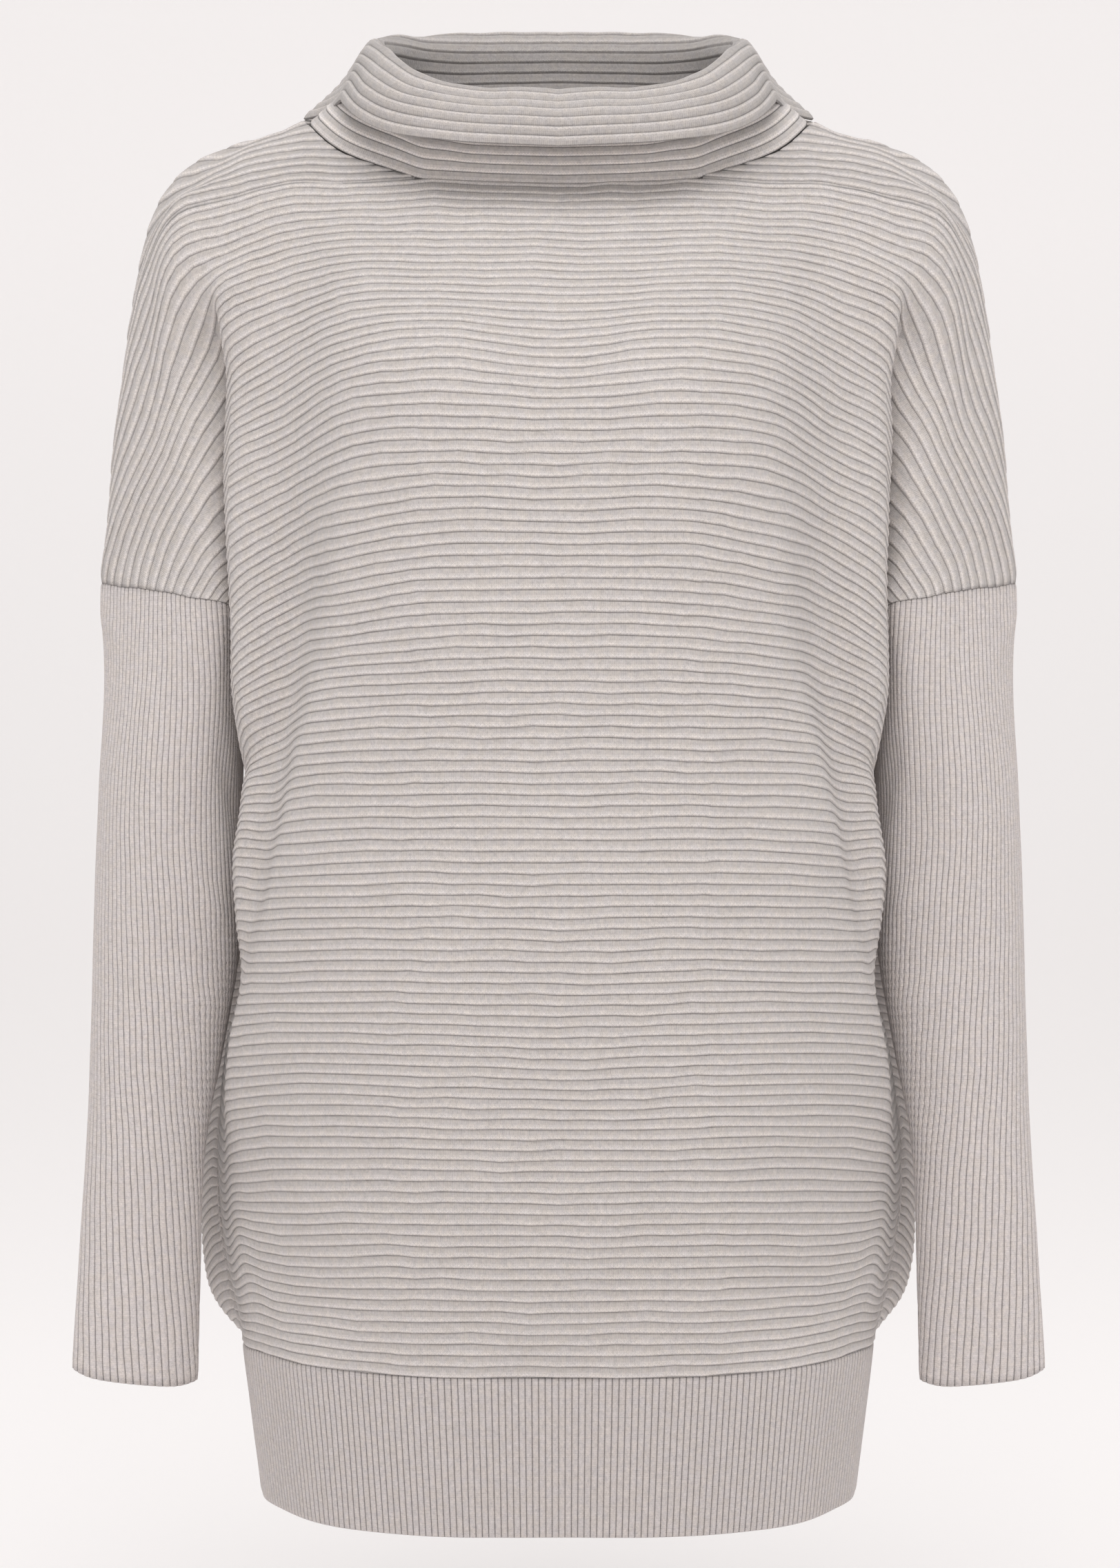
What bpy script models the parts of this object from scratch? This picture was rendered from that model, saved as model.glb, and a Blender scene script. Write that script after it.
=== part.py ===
"""Roll neck tunic in flat-knitted yarn, filled out as if it were worn.

The front and back carry a broad raised rib that runs across the body and down the arms.
The sleeves and the hem band are in a fine upright rib, and the collar is a folded roll in the broad rib.
Lengths below are in millimetres. X is the wearer's side to side, Y runs from front (minus) to back, Z is up,
and the origin lies in the middle of the neck opening at the height of the shoulders' neck points.
"""

import math

import bmesh
import bpy
import numpy as np

MM = 0.001
GARMENT = "roll_neck_tunic"

# Cloth
WALL = 1.4
RIB_RISE = 1.2
FINE_RISE = 0.7
SEAM_GAP = 0.3

# Broad ribs, numbered upward from the hem seam: one rib lies between two whole numbers
UNDERARM_RIB = 85
ARM_TOP_RIB = 107
FRONT_NECK_RIB = 114.5
BACK_NECK_RIB = 121
TOP_RIB = 122.5

# Sleeves and hem band
SLEEVE_RIBS = 60
HEM_RIBS = 264
HEM_BOTTOM_Z = -769.0
HEM_HALF_WIDTH = 167.0
HEM_FRONT = -114.0
HEM_BACK = 98.0

# Fold lines of the front, from the middle to the side: share of the half width
FRONT_SHARES = (0.0, 0.17, 0.30, 0.42, 0.52, 0.62, 0.76, 1.0)
# Columns: rib, x, y, z
FRONT_CENTRE = (
    (0, 0, -122, -679),
    (10, 0, -135, -617),
    (20, 0, -145, -557),
    (30, 0, -152, -501),
    (40, 0, -156, -443),
    (60, 0, -157, -324),
    (70, 0, -156, -264),
    (80, 0, -153, -205),
    (87, 0, -148, -164),
    (94, 0, -134, -127),
    (100, 0, -117, -100),
    (107, 0, -94, -71),
    (114.5, 0, -70, -41),
    (118, 0, -58, -28),
    (123, 0, -42, -8),
)
FRONT_BUST = (
    (0, 87, -116, -679),
    (20, 84, -138, -557),
    (40, 78, -148, -443),
    (60, 75, -151, -325),
    (70, 74, -153, -266),
    (77, 73, -154, -223),
    (85, 72, -153, -174),
    (90, 72, -149, -143),
    (94, 72, -139, -121),
    (99, 72, -122, -101),
    (104, 73, -104, -82),
    (109, 73, -84, -62),
    (114.5, 77, -62, -39),
    (118, 78, -50, -26),
    (123, 79, -36, -6),
)
FRONT_CREST = (
    (0, 139, -88, -679),
    (10, 161, -60, -628),
    (19, 172, -50, -580),
    (24, 174, -54, -550),
    (30, 171, -66, -513),
    (39, 160, -84, -459),
    (48, 150, -99, -405),
    (58, 134, -115, -343),
    (68, 118, -126, -285),
    (77, 112, -130, -232),
    (85, 108, -131, -178),
    (90, 108, -127, -148),
    (94, 108, -120, -127),
    (99, 109, -105, -104),
    (104, 109, -90, -83),
    (109, 110, -73, -63),
    (114, 110, -56, -43),
    (118.5, 115, -42, -25),
    (123, 117, -24, -5),
)
FRONT_HOLLOW = (
    (0, 161, -55, -680),
    (10, 174, -40, -628),
    (20, 182, -30, -580),
    (30, 180, -45, -518),
    (39.5, 168, -60, -460),
    (48, 161, -66, -411),
    (58, 152, -72, -357),
    (71, 141, -80, -278),
    (77, 142, -81, -244),
    (85, 146, -82, -199),
    (90, 147, -80, -170),
    (94, 147, -78, -147),
    (99, 148, -72, -119),
    (104, 148, -64, -91),
    (109, 148, -55, -67),
    (114, 147, -44, -44),
    (118.5, 144, -28, -25),
    (122.5, 140, -1.8, -7),
)
FRONT_WING = (
    (0, 173, -28, -682),
    (20, 187, -16, -587),
    (30, 180, -32, -522),
    (38, 172, -46, -468),
    (43, 175, -51, -440),
    (48, 176, -54, -411),
    (57, 169, -58, -367),
    (62, 167, -61, -345),
    (64, 170, -63, -334),
    (69, 175, -64, -311),
    (77, 176, -64, -269),
    (87, 176, -61, -204),
    (94, 176, -57, -165),
    (99, 177, -56, -137),
    (102, 181, -56, -119),
    (107, 183, -56, -91),
    (109, 181, -52, -79),
    (112, 178, -46, -61.5),
    (114, 175, -41, -51),
    (118, 168, -26, -31.5),
    (120, 161, -15, -22),
    (122.5, 150, -1.8, -12),
)
FRONT_TUCK = (
    (0, 175, -14, -683),
    (20, 190, -6, -580),
    (30, 183, -16, -518),
    (40, 171, -24, -468),
    (50, 168, -26, -431),
    (60, 166, -27, -390),
    (70, 164, -26, -345),
    (77, 163, -24, -308),
    (82, 164, -20, -283),
    (85, 165, -17, -271),
    (90, 166, -18, -262),
    (92, 166, -19, -257),
    (94, 167, -19, -246),
    (97, 168, -21, -211),
    (100, 172, -28, -169),
    (104, 181, -43, -119),
    (107, 192, -48, -101),
    (109, 197, -47, -86),
    (112, 203, -42, -69),
    (114, 205, -36, -60),
    (116, 205, -30, -49),
    (118, 191, -25, -39),
    (120, 178, -14, -27),
    (122.5, 158, -1.6, -14.5),
)
FRONT_ARM = (
    (0, 176, -6, -684),
    (20, 190, -2, -577),
    (40, 172, -10, -470),
    (60, 168, -12, -394),
    (77, 166, -12, -312),
    (82, 168, -11, -288),
    (85, 170, -10, -276),
    (88, 172, -21, -272),
    (90, 174, -32, -269),
    (92, 178, -42, -264),
    (94, 183, -46, -255),
    (97, 188, -46.5, -234),
    (100, 193, -46, -201),
    (104, 207, -42, -177),
    (107, 219, -36, -170),
    (109, 223, -32, -152),
    (112, 224, -27, -113),
    (114, 224, -22, -91),
    (116, 219, -18, -67),
    (118, 208, -19, -50),
    (120, 191, -12, -32),
    (122.5, 165, -1.2, -16.8),
)

# Fold lines of the back
BACK_SHARES = (0.0, 0.18, 0.34, 0.50, 0.62, 0.76, 1.0)
BACK_CENTRE = (
    (0, 0, 102, -688),
    (10, 0, 108, -628),
    (20, 0, 111, -569),
    (30, 0, 108, -512),
    (40, 0, 100, -457),
    (50, 0, 91, -401),
    (60, 0, 87, -345),
    (70, 0, 87, -290),
    (80, 0, 91, -234),
    (90, 0, 94, -179),
    (100, 0, 93, -123),
    (110, 0, 83, -67),
    (121, 0, 62, -6),
    (123, 0, 58, 5),
)
BACK_BLADE = (
    (0, 87, 95, -688),
    (10, 91, 101, -629),
    (20, 93, 104, -570),
    (30, 90, 100, -514),
    (40, 86, 91, -459),
    (50, 82, 83, -404),
    (60, 80, 80, -349),
    (70, 78, 83, -296),
    (80, 78, 89, -241),
    (90, 78, 93, -184),
    (100, 78, 90, -127),
    (110, 78, 77, -70),
    (121, 84, 52, -9),
    (123, 85, 48, 0),
)
BACK_SIDE = (
    (0, 146, 69, -689),
    (5, 160, 73, -667),
    (10, 166, 74, -638),
    (20, 168, 72, -576),
    (30, 161, 68, -520),
    (40, 149, 64, -468),
    (50, 140, 62, -417),
    (60, 134, 64, -367),
    (70, 133, 70, -318),
    (80, 134, 76, -265),
    (90, 137, 77, -203),
    (100, 140, 70, -140),
    (110, 141, 55, -76),
    (118, 138, 31, -24),
    (122.5, 139, 1.8, -7),
)
BACK_WING = (
    (0, 176, 33, -689),
    (3, 187, 36, -678),
    (6, 195, 37, -666),
    (10, 199.5, 36, -649),
    (15, 201.5, 35, -619),
    (20, 200.5, 35, -589),
    (25, 197, 34, -558),
    (30, 192, 34, -527),
    (40, 184, 34, -477),
    (50, 179, 36, -433),
    (60, 175, 41, -390),
    (70, 173, 48, -345),
    (77, 173, 54, -304),
    (87, 175, 58, -226),
    (94, 177, 56, -174),
    (102, 181, 54, -122),
    (109, 181, 47, -80),
    (114, 175, 38, -52),
    (118, 168, 26, -31.5),
    (122.5, 151, 1.8, -12),
)
BACK_TUCK = (
    (0, 176, 14, -686.4),
    (5, 187, 15, -659),
    (10, 193, 15, -634),
    (20, 193, 14, -578),
    (30, 184, 14, -521),
    (40, 173, 14, -474),
    (50, 169, 15, -434),
    (60, 166, 17, -392),
    (70, 164, 18, -347),
    (77, 163, 18, -310),
    (82, 164, 15, -285),
    (85, 165, 12, -272),
    (90, 166, 14, -262),
    (92, 166, 16, -257),
    (94, 167, 17, -246),
    (97, 169, 20, -211),
    (100, 173, 27, -169),
    (104, 182, 40, -120),
    (107, 192, 44, -101),
    (109, 197, 43, -86),
    (112, 203, 38, -69),
    (114, 205, 33, -60),
    (116, 205, 27, -49),
    (118, 191, 22, -39),
    (120, 178, 12, -27),
    (122.5, 159, 1.6, -14.7),
)
BACK_ARM = (
    (0, 176, 6, -685.3),
    (10, 188, 6, -629),
    (20, 190, 4, -577),
    (40, 172, 5, -471),
    (60, 168, 5, -394),
    (77, 166, 3, -314),
    (82, 168, 2, -289),
    (85, 170, 1, -276),
    (88, 172, 13, -272),
    (90, 174, 26, -269),
    (92, 178, 37, -264),
    (94, 183, 42, -255),
    (97, 188, 43, -234),
    (100, 193, 42.5, -201),
    (104, 207, 38.5, -177),
    (107, 219, 33, -170),
    (109, 223, 29, -152),
    (112, 224, 24, -113),
    (114, 224, 20, -91),
    (116, 219, 16, -67),
    (118, 208, 17, -50),
    (120, 191, 11, -32),
    (122.5, 166, 1.2, -17),
)

# The seam that both panels share: side seam up to the underarm, then over the shoulder
SIDE_SEAM = (
    (0, 176, 0, -684.5),
    (4, 182, 0, -662),
    (8, 186.5, 0, -638),
    (19, 190, 0, -575),
    (30, 183, 0, -518),
    (40, 173, 0, -472),
    (50, 169, -1, -433),
    (60, 168, -2, -394),
    (70, 167, -3, -352),
    (77, 167, -4, -317),
    (82, 169, -4, -294),
    (85, 172, -4, -281),
)
SHOULDER_SEAM = (
    (107, 252, -4, -259),
    (108, 250, -3, -245),
    (110, 247, -2, -215),
    (112, 245, -1, -189),
    (113, 243, 0, -175),
    (114, 240, 0, -153),
    (115, 237, 0, -128),
    (116, 234, 0, -109),
    (117, 230.5, 0, -89),
    (118, 226, 0, -69.5),
    (119, 220, 0, -53),
    (120, 211.5, 0, -40),
    (121, 199, 0, -29),
    (122, 182, 0, -21.2),
    (122.5, 171.5, 0, -17.5),
)
# Above this rib the shoulder seam lies level in y = 0, and neither panel reaches across it
LEVEL_SEAM_RIB = 113
# The arm opening, from the underarm round the front or back to the outer side
ARM_OPENING_FRONT = (
    (85, 175, -4, -281),
    (86, 176, -10, -280),
    (88, 176, -22, -276),
    (90, 177, -35, -272),
    (92, 181, -46, -267),
    (94, 190, -48.5, -265),
    (96, 200, -46, -264),
    (98, 210, -41, -262),
    (100, 220, -35, -261),
    (102, 230, -28, -260),
    (104, 239.5, -20, -260),
    (106, 248.5, -10, -259),
    (107, 252, -4, -259),
)
ARM_OPENING_BACK = (
    (85, 175, -4, -281),
    (86, 176, 2, -280),
    (88, 176, 16, -276),
    (90, 177, 30, -272),
    (92, 181, 41, -267),
    (94, 190, 44, -265),
    (96, 200, 41.5, -264),
    (98, 210, 37, -262),
    (100, 220, 31, -261),
    (102, 230, 23.5, -260),
    (104, 239.5, 14.5, -260),
    (106, 248.5, 3, -259),
    (107, 252, -4, -259),
)
# Way in which a rib leaves each panel's edge, y away from the panel: rib, x, y, z
EDGE_LEAVING = (
    (0, 0, 1, 0),
    (78, 0, 1, 0),
    (84, 0.3, 0.8, 0),
    (87, 0, 0.1, -1),
    (105, 0, 0, -1),
    (107, 0, 0.4, -0.9),
    (110, 0.05, 0.55, -0.8),
    (116, 0.15, 0.7, -0.65),
    (118, 0.25, 0.7, -0.55),
    (120, 0.4, 0.7, -0.5),
    (122.5, 0.7, 0.5, -0.3),
)
LEAVING_REACH = 25.0
# Steps along the ribs and across them over which the cloth's direction is read
NEAR_RIBS = 0.3
NEAR_SHARE = 0.012
# Below the underarm the seam's outward side turns to look down over these ribs
TURN_RIB = 80.0
TURN_RIBS = 4.0
UNDER_RIBS = 3.0
ARM_CENTRE = (213.0, -3.0)

# Where each panel starts above its full ribs: rib, share of the half width
FRONT_NECKLINE = ((115.0, 0.17), (118.5, 0.30), (122.5, 0.42))
BACK_NECKLINE = ((121.5, 0.18), (122.5, 0.34))

# Collar, from the front middle round the side to the back middle: station, x, y, z
COLLAR_RIM = (
    (0, 0, -86, 7.5),
    (1, 48, -84, 10),
    (2, 77, -75, 18),
    (2.6, 89, -58, 26),
    (3.2, 97.5, -33, 34),
    (3.8, 101, -9, 36),
    (4.1, 101.5, 4, 36.6),
    (4.4, 100, 16, 37.4),
    (4.8, 96, 30, 39),
    (5.3, 84, 47, 40.5),
    (6, 54, 67, 42.3),
    (7, 0, 75, 43),
)
COLLAR_FALL = (
    (0, 0, -97, -4),
    (1, 56, -92, -1),
    (2, 90, -77, 5),
    (2.6, 102, -62, 10),
    (3.2, 109, -43, 15),
    (3.8, 112.5, -18, 17),
    (4.1, 114.5, -3, 16),
    (4.4, 118, 11, 14),
    (4.8, 114, 28, 17),
    (5.3, 100, 48, 21),
    (6, 61, 76, 23),
    (7, 0, 85, 24),
)
COLLAR_EDGE = (
    (0, 0, -100, -21),
    (1, 58, -96, -18),
    (2, 94, -76, -12),
    (2.6, 108, -62, -5),
    (3.2, 116, -45, 2),
    (3.8, 119.5, -20, 3.5),
    (4.1, 126, -4, -1.5),
    (4.4, 139, 9, -5),
    (4.8, 131, 27, -4),
    (5.3, 111, 50, 0),
    (6, 64, 80, 3),
    (7, 0, 88, 4),
)
COLLAR_ROLL = 4.5
# The neck curve is read in this many steps and eased this often; the stand rises a little inside it
BASE_STEPS = 90
BASE_EASING = 4
BASE_INWARD = 1.4
BASE_UP = 1.3
STAND_INWARD = 1.5
COLLAR_STATIONS = (0, 0.9, 1.7, 2.3, 2.9, 3.4, 3.8, 4.1, 4.4, 4.8, 5.3, 6.1, 7)
STAND_RIBS = 5
FALL_RIBS = 7
STAND_END = 0.34
FALL_START = 0.58

# Sleeve sections below the seam: drop, centre x, centre y, half width, half depth, share of round form
SLEEVE_SECTIONS = (
    (0, 215, -5, 39, 46.5, 0),
    (0.12, 213, -7, 38, 43, 0.5),
    (0.24, 214.5, -9.5, 38.8, 39, 0.85),
    (0.42, 216.5, -14, 39.5, 34, 1),
    (0.55, 222, -18, 36, 30, 1),
    (0.68, 228, -22, 32, 26, 1),
    (0.85, 232.5, -26, 33, 20, 1),
    (1, 235.5, -29, 34, 14, 1),
)
CUFF_Z = -700.5
CUFF_TILT = 0.1
# At the underarm the sleeve starts a little lower, clear of the side seam's turn
UNDERARM_CLEAR_X = 185.0
UNDERARM_CLEAR_WIDTH = 10.0
UNDERARM_CLEARANCE = 1.8
CLEAR_OF_SEAM = SEAM_GAP + 0.1
SLEEVE_LEVELS = (0.0, 0.42, 0.68, 1.0)
SEAM_STEPS = 80
SLEEVE_PLAIN_POINTS = 28
HEM_PLAIN_POINTS = 40

COLOURS = {
    "broad_rib": (0.52, 0.47, 0.44),
    "fine_rib": (0.47, 0.42, 0.40),
}


def cubic(values, knots, places):
    """Smooth curve through the rows of values, one knot each, read at the given places."""
    values = np.asarray(values, float)
    knots = np.asarray(knots, float)
    places = np.asarray(places, float)
    slopes = np.gradient(values, knots, axis=0)
    low = np.clip(np.searchsorted(knots, places, side="right") - 1, 0, len(knots) - 2)
    step = knots[low + 1] - knots[low]
    u = np.clip((places - knots[low]) / step, 0, 1)[:, None]
    step = step[:, None]
    return hermite(values[low], values[low + 1], slopes[low] * step, slopes[low + 1] * step, u)


def hermite(start, end, leave, arrive, u):
    """Point at share u of a cubic between two points with given end slopes."""
    return (
        start * (2 * u**3 - 3 * u**2 + 1)
        + leave * (u**3 - 2 * u**2 + u)
        + end * (3 * u**2 - 2 * u**3)
        + arrive * (u**3 - u**2)
    )


def line_at(table, ribs):
    """Points of a named fold line at the given rib numbers."""
    rows = np.asarray(table, float)
    return cubic(rows[:, 1:], rows[:, 0], ribs)


def edge_at(ribs, arm_opening):
    """Points of a panel's outer seam: side seam, arm opening or shoulder seam."""
    points = line_at(SIDE_SEAM, ribs)
    on_arm = ribs > UNDERARM_RIB
    points[on_arm] = line_at(arm_opening, ribs[on_arm])
    on_shoulder = ribs > ARM_TOP_RIB
    points[on_shoulder] = line_at(SHOULDER_SEAM, ribs[on_shoulder])
    return points


class Panel:
    """Front or back: a surface laid out by rib number and by share of the half width."""

    def __init__(self, name, face, shares, lines, arm_opening, full_rib, neckline):
        self.name = name
        self.face = face
        self.shares = np.asarray(shares, float)
        self.lines = lines
        self.arm_opening = arm_opening
        self.full_rib = full_rib
        self.neckline = neckline

    def knots(self, ribs):
        """Fold line points of each rib, with a mirrored one before and a leaving one after."""
        inner = [line_at(table, ribs) for table in self.lines]
        edge = edge_at(ribs, self.arm_opening)
        edge[:, 1] += self.face * SEAM_GAP / 2
        leaving = line_at(EDGE_LEAVING, ribs) * (1, -self.face, 1)
        mirrored = inner[1] * (-1, 1, 1)
        return np.stack([mirrored] + inner + [edge, edge + LEAVING_REACH * leaving], axis=1)

    def points(self, ribs, shares):
        """Places on the cloth's face in its grooves; a negative share lies on the other side."""
        ribs = np.asarray(ribs, float)
        shares = np.asarray(shares, float)
        side = np.where(shares < 0, -1.0, 1.0)
        share = np.clip(np.abs(shares), 0, 1)
        knots = self.knots(ribs)
        spans = np.linalg.norm(np.diff(knots, axis=1), axis=2)[:, :, None] + 1e-6
        slopes_between = np.diff(knots, axis=1) / spans
        before = spans[:, :-1]
        after = spans[:, 1:]
        slopes = (slopes_between[:, :-1] * after + slopes_between[:, 1:] * before) / (before + after)
        low = np.clip(np.searchsorted(self.shares, share, side="right") - 1, 0, len(self.shares) - 2)
        u = ((share - self.shares[low]) / (self.shares[low + 1] - self.shares[low]))[:, None]
        each = np.arange(len(ribs))
        span = spans[each, low + 1]
        found = hermite(
            knots[each, low + 1],
            knots[each, low + 2],
            slopes[each, low] * span,
            slopes[each, low + 1] * span,
            u,
        )
        found[:, 0] *= side
        return found

    def normals(self, ribs, shares):
        """Outward directions of the cloth, with the seam edges' own directions at the edge."""
        ribs = np.asarray(ribs, float)
        shares = np.asarray(shares, float)
        up = self.points(np.minimum(ribs + NEAR_RIBS, TOP_RIB), shares)
        down = self.points(np.maximum(ribs - NEAR_RIBS, 0), shares)
        outer = self.points(ribs, np.minimum(shares + NEAR_SHARE, 1))
        inner = self.points(ribs, np.maximum(shares - NEAR_SHARE, -1))
        found = np.cross(outer - inner, up - down) * -self.face
        found /= np.linalg.norm(found, axis=1)[:, None] + 1e-9
        at_edge = np.abs(shares) > 0.999
        if at_edge.any():
            directions = edge_normal(ribs[at_edge], self.arm_opening)
            directions[:, 0] *= np.sign(shares[at_edge])
            found[at_edge] = directions
        return found

    def start(self, rib):
        """Share of the half width at which this rib begins."""
        if rib <= self.full_rib:
            return 0.0
        places = np.asarray(self.neckline, float)
        return float(np.interp(rib, places[:, 0], places[:, 1]))


def edge_normal(ribs, arm_opening):
    """Outward direction of the cloth at the outer seams, free of front-to-back lean on the sides."""
    found = np.zeros((len(ribs), 3))
    centre = np.array((*ARM_CENTRE, 0.0))
    for i, rib in enumerate(ribs):
        if rib < UNDERARM_RIB:
            turn = np.clip((rib - TURN_RIB) / TURN_RIBS, 0, 1) * math.pi / 2
            found[i] = (math.cos(turn), 0, -math.sin(turn))
        elif rib <= ARM_TOP_RIB:
            low, high = line_at(arm_opening, np.clip([rib - NEAR_RIBS, rib + NEAR_RIBS], UNDERARM_RIB, ARM_TOP_RIB))
            along = high - low
            out = np.cross(along, (0, 0, 1.0))
            out[2] = 0
            here = line_at(arm_opening, np.array([rib]))[0] - centre
            out *= np.sign(np.dot(out[:2], here[:2]) + 1e-9)
            out /= np.linalg.norm(out) + 1e-9
            if rib == ARM_TOP_RIB:
                out = np.array((1.0, 0.0, 0.0))
            under = np.clip((rib - UNDERARM_RIB) / UNDER_RIBS, 0, 1)
            found[i] = out * under + np.array((0, 0, -1.0)) * (1 - under)
        else:
            low, high = line_at(SHOULDER_SEAM, np.clip([rib - NEAR_RIBS, rib + NEAR_RIBS], ARM_TOP_RIB, TOP_RIB))
            found[i] = (high[2] - low[2], 0, low[0] - high[0])
    return found / np.linalg.norm(found, axis=1)[:, None]


FRONT = Panel(
    "body_front",
    -1,
    FRONT_SHARES,
    (FRONT_CENTRE, FRONT_BUST, FRONT_CREST, FRONT_HOLLOW, FRONT_WING, FRONT_TUCK, FRONT_ARM),
    ARM_OPENING_FRONT,
    FRONT_NECK_RIB,
    FRONT_NECKLINE,
)
BACK = Panel(
    "body_back",
    1,
    BACK_SHARES,
    (BACK_CENTRE, BACK_BLADE, BACK_SIDE, BACK_WING, BACK_TUCK, BACK_ARM),
    ARM_OPENING_BACK,
    BACK_NECK_RIB,
    BACK_NECKLINE,
)
# Ribs at which the plain inside has points
PLAIN_RIBS = (*range(0, 78, 6), *range(78, 108, 3), 109, 111, 112.5, 114.5, 115, 117, 118.5, 120.5, 121, 121.5, TOP_RIB)
# Shares at which each panel has points, by the highest rib of each stretch
FRONT_COLUMNS = (
    (44, (0.0, 0.17, 0.30, 0.52, 1.0)),
    (80, (0.0, 0.17, 0.30, 0.42, 0.52, 1.0)),
    (114.5, (0.0, 0.17, 0.30, 0.42, 0.52, 0.62, 0.76, 1.0)),
)
BACK_COLUMNS = (
    (20, (0.0, 0.18, 0.34, 0.50, 1.0)),
    (82, (0.0, 0.25, 0.50, 1.0)),
    (121, (0.0, 0.18, 0.34, 0.50, 0.66, 1.0)),
)
ABOVE_NECK_COLUMNS = 5


class Cloth:
    """A closed wall under construction: its points and its three-cornered faces."""

    def __init__(self, name):
        self.name = name
        self.points = []
        self.faces = []

    def add(self, points):
        first = len(self.points)
        self.points.extend(points)
        return list(range(first, first + len(points)))

    def strip(self, first, second):
        """Faces between two strings of points, each a list of (place, index) with rising places."""
        i = 0
        j = 0
        while i < len(first) - 1 or j < len(second) - 1:
            if j == len(second) - 1:
                step_first = True
            elif i == len(first) - 1:
                step_first = False
            else:
                step_first = first[i + 1][0] <= second[j + 1][0]
            if step_first:
                self.faces.append((first[i][1], first[i + 1][1], second[j][1]))
                i += 1
            else:
                self.faces.append((first[i][1], second[j + 1][1], second[j][1]))
                j += 1

    def build(self, slot, collection):
        """Makes the wall a mesh object with its own material."""
        mesh = bpy.data.meshes.new(self.name)
        mesh.from_pydata([tuple(p * MM) for p in np.asarray(self.points)], [], self.faces)
        work = bmesh.new()
        work.from_mesh(mesh)
        bmesh.ops.recalc_face_normals(work, faces=work.faces)
        if work.calc_volume(signed=True) < 0:
            bmesh.ops.reverse_faces(work, faces=work.faces)
        work.to_mesh(mesh)
        work.free()
        mesh.shade_smooth()
        made = bpy.data.objects.new(self.name, mesh)
        made.data.materials.append(yarn_material(self.name, COLOURS[slot]))
        collection.objects.link(made)
        return made


def yarn_material(name, colour):
    """Matt yarn in the given colour."""
    made = bpy.data.materials.new(name + "_yarn")
    made.use_nodes = True
    shader = made.node_tree.nodes["Principled BSDF"]
    shader.inputs["Base Color"].default_value = (*colour, 1.0)
    shader.inputs["Roughness"].default_value = 0.9
    shader.inputs["Metallic"].default_value = 0.0
    return made


def columns_for(table, rib):
    """Shares at which a rib has points."""
    for highest, shares in table:
        if rib <= highest:
            return shares
    return table[-1][1]


def rib_rows(panel, column_table, ribs):
    """Rows of (rib, list of shares): whole rows up to the neck, and one for each side above it."""
    rows = []
    for rib in ribs:
        if rib <= panel.full_rib:
            half = columns_for(column_table, rib)
            whole = [-s for s in reversed(half[1:])] + list(half)
            rows.append((rib, 0, whole))
        else:
            start = panel.start(rib)
            half = [float(s) for s in np.linspace(start, 1.0, ABOVE_NECK_COLUMNS + 1)]
            rows.append((rib, 1, half))
            rows.append((rib, -1, [-s for s in reversed(half)]))
    return rows


def lay_face(cloth, panel, rows, offsets):
    """Adds one face of the wall and returns its rows as strings of (share, index)."""
    laid = {}
    for (rib, side, shares), offset in zip(rows, offsets):
        ribs = np.full(len(shares), float(rib))
        places = np.asarray(shares, float)
        points = panel.points(ribs, places) + offset * panel.normals(ribs, places)
        if rib > LEVEL_SEAM_RIB:
            depth = np.maximum(panel.face * points[:, 1], SEAM_GAP / 2)
            points[:, 1] = panel.face * depth
        laid[(rib, side)] = list(zip(shares, cloth.add(list(points))))
    order = sorted({rib for rib, _, _ in rows})
    for low, high in zip(order, order[1:]):
        for side in (0, 1, -1):
            upper = laid.get((high, side))
            if upper is None:
                continue
            lower = laid.get((low, side)) or laid.get((low, 0))
            if (low, side) not in laid and side != 0:
                edge = upper[0][0] if side > 0 else upper[-1][0]
                lower = [p for p in lower if (p[0] >= edge - 1e-6 if side > 0 else p[0] <= edge + 1e-6)]
            cloth.strip(lower, upper)
    return laid, order


def border(panel, laid, order):
    """The face's edge as named stretches, each a string of (place, index) from one corner to the next."""
    full = [rib for rib in order if (rib, 0) in laid]
    above = [rib for rib in order if (rib, 1) in laid]
    last = full[-1]
    start = panel.start(above[0])
    right_edge = [(rib, (laid.get((rib, 0)) or laid[(rib, 1)])[-1][1]) for rib in order]
    left_edge = [(rib, (laid.get((rib, 0)) or laid[(rib, -1)])[0][1]) for rib in order]
    middle = [p for p in laid[(last, 0)] if abs(p[0]) <= start + 1e-6]
    right_neck = [(last, middle[-1][1])] + [(rib, laid[(rib, 1)][0][1]) for rib in above]
    left_neck = [(last, middle[0][1])] + [(rib, laid[(rib, -1)][-1][1]) for rib in above]
    return {
        "bottom": laid[(order[0], 0)],
        "right": right_edge,
        "left": left_edge,
        "middle": middle,
        "right_neck": right_neck,
        "left_neck": left_neck,
        "right_top": laid[(order[-1], 1)],
        "left_top": laid[(order[-1], -1)],
    }


def make_panel(panel, column_table, collection):
    """Front or back: ribbed face, plain inside and the borders between them."""
    cloth = Cloth(panel.name)
    halves = [n / 2 for n in range(int(TOP_RIB * 2) + 1)]
    outer_rows = rib_rows(panel, column_table, halves)
    outer_offsets = [RIB_RISE if rib % 1 else 0.0 for rib, _, _ in outer_rows]
    inner_rows = rib_rows(panel, column_table, PLAIN_RIBS)
    outer = border(panel, *lay_face(cloth, panel, outer_rows, outer_offsets))
    inner = border(panel, *lay_face(cloth, panel, inner_rows, [-WALL] * len(inner_rows)))
    for stretch in outer:
        cloth.strip(outer[stretch], inner[stretch])
    return cloth.build("broad_rib", collection)


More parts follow.
